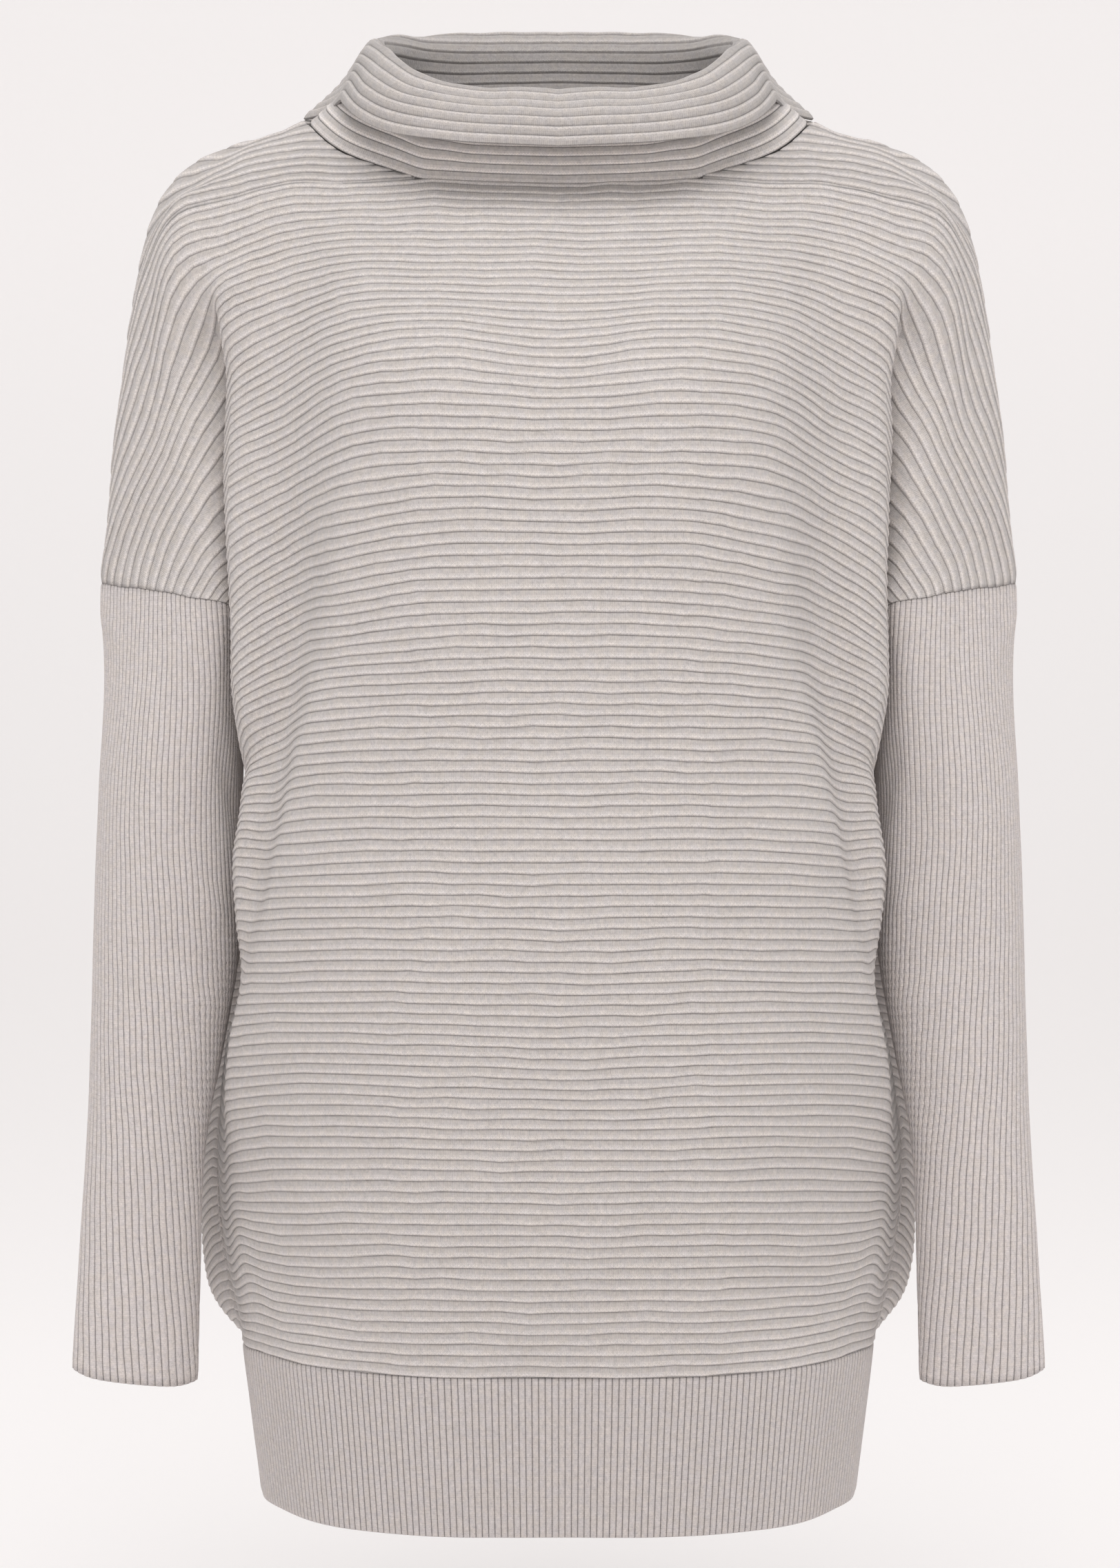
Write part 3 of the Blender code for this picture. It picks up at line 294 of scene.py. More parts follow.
# Rings of the outside, by drop, and points in a ring; then the same for the plain inside
SLEEVE_DROPS = (0.0, 0.0025, 0.006, *np.linspace(0.015, 1.0, 84))
SLEEVE_POINTS = 690
SLEEVE_INNER_DROPS = np.linspace(0, 1, 25)
SLEEVE_INNER_POINTS = 120
ROUND_RING_POINTS = 2000

# Hem band; its seam is read in this many steps to the side of each panel
HEM_SEAM_STEPS = 160
HEM_RIBS = 264
HEM_BOTTOM_Z = -769.0
HEM_HALF_WIDTH = 167.0
HEM_FRONT = -114.0
HEM_BACK = 98.0
# Rings of the outside and inside, by share of the drop
HEM_LEVELS = (0.0, 0.01, 0.025, 0.05, *np.linspace(0.09, 0.975, 14), 0.992, 1.0)
HEM_INNER_LEVELS = np.linspace(0, 1, 6)
HEM_INNER_POINTS = 200

# Columns of half a panel: up to its second fold line, up to its fifth, up to the seam, and beside it
COLUMNS_MIDDLE = 11
COLUMNS_FOLDED = 20
COLUMNS_SIDE = 18
COLUMNS_BESIDE_SEAM = (0.985, 0.994, 1.0)
# Points nearer than this, in ribs or shares, are left out
LEAST_RIBS = 0.03
LEAST_SHARE = 0.004

# Near a panel's seam, in shares of the half width: the ribs drift less, folds and ribs get lower,
# and painted shade darkens the yarn
DRIFT_FADE = 1 / 20
FOLD_FADE = 1 / 12
RIB_FADE = 0.012
RIB_AT_SEAM = 0.35
PANEL_SEAM_REACH = 0.004
# Folds also fade over the lowest ribs, and the back's slow unevenness is the front's moved by twice this
HEM_FADE_RIBS = 4
WAVE_SHIFT = 40
# Sleeve and hem band: reach of the seam and of the rim in shares of the drop, how much lower the ribs
# are there, how far the cloth dips there, and the share of the cloth's slow unevenness
SLEEVE_SEAM_REACH = 0.004
SLEEVE_SEAM_FLAT = 0.6
SLEEVE_SEAM_DIP = 0.35
SLEEVE_RIM_REACH = 0.003
SLEEVE_RIM_DIP = 0.3
SLEEVE_UNEVEN = 0.35
SLEEVE_DRIFT = 0.8
HEM_SEAM_REACH = 0.012
HEM_SEAM_FLAT = 0.75
HEM_SEAM_DIP = 0.4
HEM_RIM_REACH = 0.015
HEM_RIM_FLAT = 0.5
HEM_UNEVEN = 0.4
HEM_INNER_UNEVEN = 0.8
# Collar: share of the rib's rise on the stand's outer face, share of the strip's length over which ribs
# grow from its edges and their least rise there, and the run in millimetres for its unevenness
COLLAR_OUTER_RISE = 0.8
COLLAR_EDGE_REACH = 1 / 60
COLLAR_EDGE_RISE = 0.25
COLLAR_WAVE_RUN = 100
COLLAR_SEAM_RIBS = 0.25
# Painted light on the stand ends this many ribs below the stand's top; painted shade round the neck ends
# this far above it, softly
STAND_PAINTED_LIGHT_FADE = 1.5
NECK_PAINTED_SHADE_RIBS = 3.5
NECK_PAINTED_SHADE_FADE = 2.0
# Run beside a point of the collar's section over which its direction is read
NEAR_RUN = 0.4
# The unevenness of the hem band's inside and of the collar grows over this share from their seam
UNEVEN_REACH = 1 / 6
# Tones of the collar and the hem band beside the other pieces of their yarn
COLLAR_TONE = 0.86
HEM_TONE = 0.9


def cubic(values, knots, places):
    """Smooth curve through the rows of values, one knot each, read at the given places."""
    values = np.asarray(values, float)
    knots = np.asarray(knots, float)
    places = np.asarray(places, float)
    slopes = np.gradient(values, knots, axis=0)
    low = np.clip(np.searchsorted(knots, places, side="right") - 1, 0, len(knots) - 2)
    step = knots[low + 1] - knots[low]
    u = np.clip((places - knots[low]) / step, 0, 1)[:, None]
    step = step[:, None]
    return hermite(values[low], values[low + 1], slopes[low] * step, slopes[low + 1] * step, u)


def hermite(start, end, leave, arrive, u):
    """Point at share u of a cubic between two points with given end slopes."""
    return (
        start * (2 * u**3 - 3 * u**2 + 1)
        + leave * (u**3 - 2 * u**2 + u)
        + end * (3 * u**2 - 2 * u**3)
        + arrive * (u**3 - u**2)
    )


def line_at(table, ribs):
    """Points of a named fold line at the given rib numbers."""
    rows = np.asarray(table, float)
    return cubic(rows[:, 1:], rows[:, 0], ribs)


def edge_at(ribs, arm_opening):
    """Points of a panel's outer seam: side seam, arm opening or shoulder seam."""
    points = line_at(SIDE_SEAM, ribs)
    on_arm = ribs > UNDERARM_RIB
    points[on_arm] = line_at(arm_opening, ribs[on_arm])
    on_shoulder = ribs > ARM_TOP_RIB
    points[on_shoulder] = line_at(SHOULDER_SEAM, ribs[on_shoulder])
    return points


def profile_height(profile, phase):
    """Share of the rise at a phase of one rib."""
    rows = np.asarray(profile + ((1.0, 0.0),), float)
    return np.interp(np.asarray(phase) % 1.0, rows[:, 0], rows[:, 1])


def waves(x, z, rows):
    """Smooth unevenness: a sum of slanted waves."""
    total = np.zeros(np.shape(x))
    for amount, length, slant, shift in rows:
        run = x * math.cos(slant) + z * math.sin(slant)
        total = total + amount * np.sin(2 * math.pi * run / length + shift)
    return total


# Slow waves of the cloth and of its rib numbers: amount, wavelength, slant, shift
CLOTH_WAVES = (
    (0.42, 96.0, 0.35, 0.4), (0.34, 71.0, -0.52, 2.1), (0.26, 47.0, 0.16, 4.0), (0.20, 33.0, -0.24, 1.2),
    (0.12, 21.0, 0.44, 5.1),
)
RIB_WAVES = (
    (0.050, 58.0, 0.9, 0.3), (0.040, 31.0, -0.7, 1.9), (0.028, 17.0, 0.5, 3.3), (0.020, 9.0, -0.4, 0.8),
)


def folds_at(x, z, folds):
    """Rise of the soft folds at places seen from the front or back."""
    total = np.zeros(len(x))
    for start_x, start_z, end_x, end_z, half_width, rise in folds:
        total += fold_at(x - start_x, z - start_z, end_x - start_x, end_z - start_z, half_width, rise)
    return total


def fold_at(x, z, end_x, end_z, half_width, rise):
    """Rise of one fold from (0, 0) to its end: highest half way, and gone a little beyond both ends."""
    length = math.hypot(end_x, end_z)
    run = (x * end_x + z * end_z) / length**2
    aside = (z * end_x - x * end_z) / length
    taper = np.sin(math.pi * np.clip(run * 0.8 + 0.1, 0, 1)) ** 2
    return rise * taper * np.exp(-((aside / half_width) ** 2))


@dataclass
class PanelForm:
    """Front or back: a surface laid out by rib number and by share of the half width."""

    name: str
    face: int
    shares: tuple
    lines: tuple
    arm_opening: list
    full_rib: float
    neckline: tuple
    folds: tuple

    def knots(self, ribs):
        """Fold line points of each rib, with a mirrored one before and a leaving one after."""
        inner = [line_at(table, ribs) for table in self.lines]
        edge = edge_at(ribs, self.arm_opening)
        edge[:, 1] += self.face * SEAM_GAP / 2
        leaving = line_at(EDGE_LEAVING, ribs) * (1, -self.face, 1)
        mirrored = inner[1] * (-1, 1, 1)
        return np.stack([mirrored] + inner + [edge, edge + LEAVING_REACH * leaving], axis=1)

    def points(self, ribs, shares):
        """Places on the cloth's face in its grooves; a negative share lies on the other side."""
        ribs = np.asarray(ribs, float)
        shares = np.asarray(shares, float)
        side = np.where(shares < 0, -1.0, 1.0)
        share = np.clip(np.abs(shares), 0, 1)
        knots = self.knots(ribs)
        spans = np.linalg.norm(np.diff(knots, axis=1), axis=2)[:, :, None] + 1e-6
        slopes_between = np.diff(knots, axis=1) / spans
        before = spans[:, :-1]
        after = spans[:, 1:]
        slopes = (slopes_between[:, :-1] * after + slopes_between[:, 1:] * before) / (before + after)
        columns = np.asarray(self.shares)
        low = np.clip(np.searchsorted(columns, share, side="right") - 1, 0, len(columns) - 2)
        u = ((share - columns[low]) / (columns[low + 1] - columns[low]))[:, None]
        each = np.arange(len(ribs))
        span = spans[each, low + 1]
        found = hermite(
            knots[each, low + 1],
            knots[each, low + 2],
            slopes[each, low] * span,
            slopes[each, low + 1] * span,
            u,
        )
        found[:, 0] *= side
        return found

    def normals(self, ribs, shares):
        """Outward directions of the cloth, with the seam edges' own directions at the edge."""
        ribs = np.asarray(ribs, float)
        shares = np.asarray(shares, float)
        up = self.points(np.minimum(ribs + NEAR_RIBS, TOP_RIB), shares)
        down = self.points(np.maximum(ribs - NEAR_RIBS, 0), shares)
        outer = self.points(ribs, np.minimum(shares + NEAR_SHARE, 1))
        inner = self.points(ribs, np.maximum(shares - NEAR_SHARE, -1))
        found = np.cross(outer - inner, up - down) * -self.face
        found /= np.linalg.norm(found, axis=1)[:, None] + 1e-9
        at_edge = np.abs(shares) > 0.999
        if at_edge.any():
            directions = edge_normal(ribs[at_edge], self.arm_opening)
            directions[:, 0] *= np.sign(shares[at_edge])
            found[at_edge] = directions
        return found

    def start(self, rib):
        """Share of the half width at which this rib begins."""
        if rib <= self.full_rib:
            return 0.0
        places = np.asarray(self.neckline, float)
        return float(np.interp(rib, places[:, 0], places[:, 1]))

    def first_start(self):
        """Share of the half width at which the first rib beside the neck begins."""
        return self.start(self.full_rib + 0.01)


def edge_normal(ribs, arm_opening):
    """Outward direction of the cloth at the outer seams, free of front-to-back lean on the sides."""
    found = np.zeros((len(ribs), 3))
    arm_centre = np.array((*ARM_CENTRE, 0.0))
    for i, rib in enumerate(ribs):
        if rib < UNDERARM_RIB:
            turn = np.clip((rib - TURN_RIB) / TURN_RIBS, 0, 1) * math.pi / 2
            found[i] = (math.cos(turn), 0, -math.sin(turn))
        elif rib <= ARM_TOP_RIB:
            near = np.clip([rib - NEAR_RIBS, rib + NEAR_RIBS], UNDERARM_RIB, ARM_TOP_RIB)
            low, high = line_at(arm_opening, near)
            out = np.cross(high - low, (0, 0, 1.0))
            out[2] = 0
            here = line_at(arm_opening, np.array([rib]))[0] - arm_centre
            out *= np.sign(np.dot(out[:2], here[:2]) + 1e-9)
            out /= np.linalg.norm(out) + 1e-9
            if rib == ARM_TOP_RIB:
                out = np.array((1.0, 0.0, 0.0))
            under = np.clip((rib - UNDERARM_RIB) / UNDER_RIBS, 0, 1)
            found[i] = out * under + np.array((0, 0, -1.0)) * (1 - under)
        else:
            near = np.clip([rib - NEAR_RIBS, rib + NEAR_RIBS], ARM_TOP_RIB, TOP_RIB)
            low, high = line_at(SHOULDER_SEAM, near)
            found[i] = (high[2] - low[2], 0, low[0] - high[0])
    return found / np.linalg.norm(found, axis=1)[:, None]


FRONT = PanelForm(
    name="body_front",
    face=-1,
    shares=FRONT_SHARES,
    lines=(FRONT_CENTRE, FRONT_BUST, FRONT_CREST, FRONT_HOLLOW, FRONT_WING, FRONT_TUCK, FRONT_ARM),
    arm_opening=ARM_OPENING_FRONT,
    full_rib=FRONT_NECK_RIB,
    neckline=FRONT_NECKLINE,
    folds=FRONT_FOLDS,
)
BACK = PanelForm(
    name="body_back",
    face=1,
    shares=BACK_SHARES,
    lines=(BACK_CENTRE, BACK_BLADE, BACK_SIDE, BACK_WING, BACK_TUCK, BACK_ARM),
    arm_opening=ARM_OPENING_BACK,
    full_rib=BACK_NECK_RIB,
    neckline=BACK_NECKLINE,
    folds=BACK_FOLDS,
)


class Wall:
    """A closed knitted wall under construction: its points, their marks and its three-cornered faces.

    The marks of a point are its place along the rib and across the ribs, both in millimetres, its rib
    number, how near it lies to a seam, and how much painted shade darkens the yarn on the garment's
    inner faces (below zero where painted light makes it paler). A strip that meets itself has a length.
    """

    MARKS = ("rib", "seam", "painted_shade")

    def __init__(self, name):
        self.name = name
        self.length = math.inf
        self.points = []
        self.marks = []
        self.faces = []
        self.count = 0

    def add(self, points, along, rib, seam, painted_shade):
        """Adds points with their marks and gives their numbers."""
        marks = np.broadcast_arrays(along, rib * RIB_PITCH, rib, seam, painted_shade)
        self.points.append(points)
        self.marks.append(np.stack(marks, axis=1))
        first = self.count
        self.count += len(points)
        return list(range(first, self.count))

    def strip(self, first, second):
        """Faces between two strings of points, each a list of (place, index) with rising places."""
        i = 0
        j = 0
        last_first = len(first) - 1
        last_second = len(second) - 1
        while i < last_first or j < last_second:
            if j == last_second:
                step_first = True
            elif i == last_first:
                step_first = False
            else:
                step_first = first[i + 1][0] <= second[j + 1][0]
            if step_first:
                self.faces.append((first[i][1], first[i + 1][1], second[j][1]))
                i += 1
            else:
                self.faces.append((first[i][1], second[j + 1][1], second[j][1]))
                j += 1

    def close(self, outer, inner):
        """Faces of a tube: between its outer rings, its inner rings, and both at either end."""
        join_rings(self, outer)
        join_rings(self, inner)
        join_rings(self, [outer[0], inner[0]])
        join_rings(self, [outer[-1], inner[-1]])

    def build(self, material):
        """Makes the wall a mesh object, facing outward, with its marks as a map and attributes."""
        points = np.vstack(self.points) * MM
        marks = np.vstack(self.marks)
        mesh = bpy.data.meshes.new(self.name + "_knit")
        mesh.from_pydata(points.tolist(), [], self.faces)
        work = bmesh.new()
        work.from_mesh(mesh)
        bmesh.ops.recalc_face_normals(work, faces=work.faces)
        if work.calc_volume(signed=True) < 0:
            bmesh.ops.reverse_faces(work, faces=work.faces)
        work.to_mesh(mesh)
        work.free()
        chart = mesh.uv_layers.new(name="knit")
        corners = np.zeros(len(mesh.loops), dtype=np.int32)
        mesh.loops.foreach_get("vertex_index", corners)
        places = marks[corners, :2]
        runs = places[:, 0].reshape(-1, 3)
        meets = np.ptp(runs, axis=1) > self.length / 2
        runs[meets] = np.where(runs[meets] < 0, runs[meets] + self.length, runs[meets])
        chart.data.foreach_set("uv", places.astype(np.float32).ravel())
        for column, label in enumerate(self.MARKS, start=2):
            attribute = mesh.attributes.new(label, "FLOAT", "POINT")
            attribute.data.foreach_set("value", marks[:, column].astype(np.float32))
        mesh.shade_smooth()
        mesh.materials.append(material)
        made = bpy.data.objects.new(self.name + "_knit", mesh)
        bpy.context.scene.collection.objects.link(made)
        return made


def along_row(points):
    """Signed run of a row of points, from the one nearest the middle of the body."""
    run = np.concatenate([[0], np.cumsum(np.linalg.norm(np.diff(points, axis=0), axis=1))])
    return run - run[np.argmin(np.abs(points[:, 0]))]


def half_columns(panel):
    """Shares of the half width at which a dense row has points, closest together over the deep folds."""
    first_fold = panel.shares[2]
    last_fold = panel.shares[5]
    dense = np.concatenate([
        np.linspace(0, first_fold, COLUMNS_MIDDLE),
        np.linspace(first_fold, last_fold, COLUMNS_FOLDED),
        np.linspace(last_fold, COLUMNS_BESIDE_SEAM[0], COLUMNS_SIDE),
        COLUMNS_BESIDE_SEAM,
        [panel.first_start()],
    ])
    return np.unique(np.round(dense, 5))


def panel_rows(panel, ribs, half):
    """Rows of (rib, side, shares): whole rows up to the neck, and one for each side above it."""
    rows = []
    for rib in ribs:
        if rib <= panel.full_rib:
            rows.append((rib, 0, np.concatenate([-half[:0:-1], half])))
        else:
            start = round(panel.start(rib), 5)
            side = np.concatenate([[start], half[half > start + LEAST_SHARE]])
            rows.append((rib, 1, side))
            rows.append((rib, -1, -side[::-1]))
    return rows


def lay_face(wall, panel, rows, rise, depth):
    """Adds one face of a panel's wall and gives its border."""
    laid = {}
    every_rib = np.concatenate([np.full(len(shares), float(rib)) for rib, _, shares in rows])
    every_share = np.concatenate([shares for _, _, shares in rows])
    base = panel.points(every_rib, every_share)
    out = panel.normals(every_rib, every_share)
    from_seam = 1 - np.abs(every_share)
    drift = waves(base[:, 0], base[:, 2], RIB_WAVES) * np.clip(from_seam / DRIFT_FADE, 0, 1)
    offset = folds_at(base[:, 0], base[:, 2], panel.folds)
    offset += waves(base[:, 0] + WAVE_SHIFT * panel.face, base[:, 2], CLOTH_WAVES)
    offset *= np.clip(from_seam / FOLD_FADE, 0, 1) * np.clip(every_rib / HEM_FADE_RIBS, 0, 1)
    if depth:
        offset -= depth
    else:
        height = profile_height(BROAD_PROFILE, every_rib + drift)
        offset += rise * height * np.clip(RIB_AT_SEAM + from_seam / RIB_FADE, 0, 1)
    points = base + out * offset[:, None]
    first = 0
    for rib, side, shares in rows:
        span = slice(first, first + len(shares))
        # How near each point lies to the seam: the mark for the painted shade along it
        seam = np.exp(-from_seam[span] / PANEL_SEAM_REACH)
        along = along_row(base[span])
        # The plain inner face gets full painted shade, the ribbed outer face none
        indices = wall.add(points[span], along, rib + drift[span], seam, 1.0 if depth else 0.0)
        laid[(rib, side)] = list(zip(shares.tolist(), indices))
        first += len(shares)
    order = sorted({rib for rib, _, _ in rows})
    for low, high in zip(order, order[1:]):
        for side in (0, 1, -1):
            upper = laid.get((high, side))
            if upper is None:
                continue
            lower = laid.get((low, side)) or laid.get((low, 0))
            if (low, side) not in laid and side != 0:
                edge = upper[0][0] if side > 0 else upper[-1][0]
                lower = [p for p in lower if (p[0] - edge) * side >= -1e-6]
            wall.strip(lower, upper)
    return border(panel, laid, order)


def border(panel, laid, order):
    """The face's edge as named stretches, each a string of (place, index) from one corner to the next."""
    full = [rib for rib in order if (rib, 0) in laid]
    above = [rib for rib in order if (rib, 1) in laid]
    last = full[-1]
    start = panel.start(above[0])
    right_edge = [(rib, (laid.get((rib, 0)) or laid[(rib, 1)])[-1][1]) for rib in order]
    left_edge = [(rib, (laid.get((rib, 0)) or laid[(rib, -1)])[0][1]) for rib in order]
    middle = [p for p in laid[(last, 0)] if abs(p[0]) <= start + 1e-4]
    right_neck = [(last, middle[-1][1])] + [(rib, laid[(rib, 1)][0][1]) for rib in above]
    left_neck = [(last, middle[0][1])] + [(rib, laid[(rib, -1)][-1][1]) for rib in above]
    return {
        "bottom": laid[(order[0], 0)],
        "right": right_edge,
        "left": left_edge,
        "middle": middle,
        "right_neck": right_neck,
        "left_neck": left_neck,
        "right_top": laid[(order[-1], 1)],
        "left_top": laid[(order[-1], -1)],
    }


def knit_panel(panel, sizes, material):
    """Front or back: face with every rib rounded, plain inner face, and the borders between them."""
    wall = Wall(panel.name)
    phases = [share for share, _ in BROAD_PROFILE]
    ribs = [n + share for n in range(int(TOP_RIB) + 1) for share in phases if n + share < TOP_RIB]
    ribs = [rib for rib in ribs if abs(rib - panel.full_rib) > LEAST_RIBS]
    ribs = sorted({*ribs, panel.full_rib, TOP_RIB})
    half = half_columns(panel)
    outer = lay_face(wall, panel, panel_rows(panel, ribs, half), sizes.rib_rise / MM, 0.0)
    plain = [float(n) for n in range(0, int(panel.full_rib), 2)] + [panel.full_rib]
    plain += list(np.arange(panel.full_rib + 0.5, TOP_RIB, 1.0)) + [TOP_RIB]
    sparse = np.unique(np.round(np.append(half[::2], (panel.first_start(), 1.0)), 5))
    inner = lay_face(wall, panel, panel_rows(panel, plain, sparse), 0.0, sizes.wall / MM)
    for stretch in outer:
        wall.strip(outer[stretch], inner[stretch])
    return wall.build(material)


def columns_at(places, knots, points):
    """Points read between their knots in straight steps."""
    return np.stack([np.interp(places, knots, points[:, k]) for k in range(3)], axis=1)


def ring_by_length(points, places):
    """The closed string of points read at the given shares of its length, and that length."""
    closed = np.vstack([points, points[:1]])
    steps = np.linalg.norm(np.diff(closed, axis=0), axis=1)
    along = np.concatenate([[0], np.cumsum(steps)])
    return columns_at(places * along[-1], along, closed), along[-1]


def ring_outward(points):
    """Level directions out of a closed ring of points that runs anticlockwise from above."""
    along = np.roll(points, -1, axis=0) - np.roll(points, 1, axis=0)
    out = np.stack([along[:, 1], -along[:, 0], np.zeros(len(points))], axis=1)
    return out / (np.linalg.norm(out, axis=1)[:, None] + 1e-9)


def join_rings(wall, rings):
    """Faces between following closed rings of points."""

    def looped(indices):
        count = len(indices)
        return [(k / count, indices[k % count]) for k in range(count + 1)]

    for low, high in zip(rings, rings[1:]):
        wall.strip(looped(low), looped(high))


def arm_ring():
    """The arm opening as a dense ring, anticlockwise from above, starting at the underarm."""
    ribs = np.linspace(UNDERARM_RIB, ARM_TOP_RIB, ARM_OPENING_STEPS)
    front = line_at(ARM_OPENING_FRONT, ribs)
    back = line_at(ARM_OPENING_BACK, ribs)
    return np.vstack([front[:-1], back[::-1][:-1]])


def sleeve_ring(drop, places):
    """One ring of the right sleeve at a share of its drop, and the ring's length."""
    rows = np.asarray(SLEEVE_SECTIONS, float)
    centre_x, centre_y, half_width, half_depth, roundness = cubic(rows[:, 1:], rows[:, 0], [drop])[0]
    roundness = min(max(roundness, 0.0), 1.0)
    top, _ = ring_by_length(arm_ring(), places)
    turn = np.linspace(0, 2 * math.pi, ROUND_RING_POINTS, endpoint=False)
    round_ring = np.stack([-half_width * np.cos(turn), -half_depth * np.sin(turn), 0 * turn], axis=1)
    round_ring, _ = ring_by_length(round_ring, places)
    first = rows[0]
    seam = top - (first[1], first[2], 0)
    seam[:, 2] = 0
    seam *= (half_width / first[3], half_depth / first[4], 1)
    ring = seam * (1 - roundness) + round_ring * roundness
    corner = CUFF_CORNER * np.abs(np.cos(2 * math.pi * places)) ** 10
    cuff_z = CUFF_Z + CUFF_TILT * ring[:, 0] + corner
    ring += (centre_x, centre_y, 0)
    ring[:, 2] = (top[:, 2] - SEAM_GAP) * (1 - drop) + cuff_z * drop
    closed = np.vstack([ring, ring[:1]])
    return ring, np.linalg.norm(np.diff(closed, axis=0)[:, :2], axis=1).sum()


def sleeve_fold_rise(places, drop, length):
    """Rise of the sleeve's soft folds round one ring."""
    turn = (180.0 - places * 360.0) % 360.0
    total = np.zeros(len(turn))
    for start_turn, end_turn, start_drop, end_drop, half_width, rise in SLEEVE_FOLDS:
        around = (end_turn - start_turn) / 360.0 * length
        down = (end_drop - start_drop) * SLEEVE_LENGTH
        from_middle = (turn - (start_turn + end_turn) / 2 + 180.0) % 360.0 - 180.0
        x = from_middle / 360.0 * length + around / 2
        z = (drop - start_drop) * SLEEVE_LENGTH
        total += fold_at(x, z, around, down, half_width, rise)
    return total


def knit_sleeve(name, side, sizes, material):
    """A sleeve from the arm opening to its open cuff, whose ribs are counted from its outer line."""
    wall = Wall(name)
    mirror = np.array((side, 1, 1))
    places = np.arange(SLEEVE_POINTS) / SLEEVE_POINTS
    pitches = np.asarray(SLEEVE_PITCH, float)
    outer = []
    for drop in SLEEVE_DROPS:
        ring, length = sleeve_ring(drop, places)
        pitch = np.interp(drop, pitches[:, 0], pitches[:, 1])
        from_outer = np.abs(places - 0.5) * length
        rib = from_outer / pitch + 0.5 + waves(from_outer, ring[:, 2], RIB_WAVES) * SLEEVE_DRIFT
        rise = sizes.fine_rise / MM * profile_height(FINE_PROFILE, rib)
        near_seam = math.exp(-drop / SLEEVE_SEAM_REACH)
        rise *= 1 - SLEEVE_SEAM_FLAT * near_seam
        uneven = SLEEVE_UNEVEN * waves(from_outer * np.sign(places - 0.5), ring[:, 2], CLOTH_WAVES)
        rise += (sleeve_fold_rise(places, drop, length) + uneven) * (1 - near_seam)
        near_rim = np.clip(1 - (1 - drop) / SLEEVE_RIM_REACH, 0, 1)
        rise -= SLEEVE_SEAM_DIP * near_seam + SLEEVE_RIM_DIP * near_rim
        ring = ring + ring_outward(ring) * rise[:, None]
        outer.append(wall.add(ring * mirror, ring[:, 2], rib, near_seam, 0.0))
    inner = []
    sparse = np.arange(SLEEVE_INNER_POINTS) / SLEEVE_INNER_POINTS
    for drop in SLEEVE_INNER_DROPS:
        ring, length = sleeve_ring(drop, sparse)
        rise = sleeve_fold_rise(sparse, drop, length) - sizes.wall / MM
        ring = ring + ring_outward(ring) * rise[:, None]
        rib = np.abs(sparse - 0.5) * length / np.interp(drop, pitches[:, 0], pitches[:, 1])
        # The plain inner face gets full painted shade
        inner.append(wall.add(ring * mirror, ring[:, 2], rib, 0.0, 1.0))
    wall.close(outer, inner)
    return wall.build(material)


def hem_seam_ring():
    """The lower edge of front and back as one ring, anticlockwise from above, from the front middle."""
    shares = np.linspace(0, 1, HEM_SEAM_STEPS)
    front, back = [panel.points(0 * shares, shares) for panel in (FRONT, BACK)]
    right = np.vstack([front, back[::-1]])
    left = right[::-1][1:-1] * (-1, 1, 1)
    return np.vstack([right, left])


def hem_ring(level, places, seam_ring):
    """One ring of the hem band, at a share of its drop from the seam."""
    ring, _ = ring_by_length(seam_ring, places)
    widest = seam_ring[:, 0].max()
    scale_x = 1 + (HEM_HALF_WIDTH / widest - 1) * level
    at_front = HEM_FRONT / seam_ring[:, 1].min()
    at_back = HEM_BACK / seam_ring[:, 1].max()
    depth = np.where(ring[:, 1] < 0, at_front, at_back)
    scale_y = 1 + (depth - 1) * level
    z = (ring[:, 2] - SEAM_GAP) * (1 - level) + HEM_BOTTOM_Z * level
    return np.stack([ring[:, 0] * scale_x, ring[:, 1] * scale_y, z], axis=1)


def knit_hem(sizes, material):
    """The hem band: a tube of fine upright ribs with rounded rib tops under its seam."""
    wall = Wall("hem_band")
    phases = [share for share, _ in FINE_PROFILE[:-1]]
    rib = np.array([n + share for n in range(HEM_RIBS) for share in phases])
    places = rib / HEM_RIBS
    seam_ring = hem_seam_ring()
    height = profile_height(FINE_PROFILE, rib)
    outer = []
    for level in HEM_LEVELS:
        ring = hem_ring(level, places, seam_ring)
        near_seam = math.exp(-level / HEM_SEAM_REACH)
        near_rim = np.clip(1 - (1 - level) / HEM_RIM_REACH, 0, 1)
        flat = (1 - HEM_SEAM_FLAT * near_seam) * (1 - HEM_RIM_FLAT * near_rim)
        uneven = HEM_UNEVEN * waves(ring[:, 0] * np.sign(ring[:, 1]), ring[:, 2], CLOTH_WAVES)
        rise = sizes.fine_rise / MM * height * flat + uneven * (1 - near_seam) - HEM_SEAM_DIP * near_seam
        outer.append(wall.add(ring + ring_outward(ring) * rise[:, None], ring[:, 2], rib, near_seam, 0.0))
    sparse = np.arange(HEM_INNER_POINTS) / HEM_INNER_POINTS
    inner = []
    for level in HEM_INNER_LEVELS:
        ring = hem_ring(level, sparse, seam_ring)
        rise = HEM_INNER_UNEVEN * waves(ring[:, 0] * np.sign(ring[:, 1]), ring[:, 2], CLOTH_WAVES)
        rise *= np.clip(level / UNEVEN_REACH, 0, 1)
        ring = ring + ring_outward(ring) * (rise - sizes.wall / MM)[:, None]
        # The plain inner face gets full painted shade
        inner.append(wall.add(ring, ring[:, 2], sparse * HEM_RIBS, 0.0, 1.0))
    wall.close(outer, inner)
    return wall.build(material)


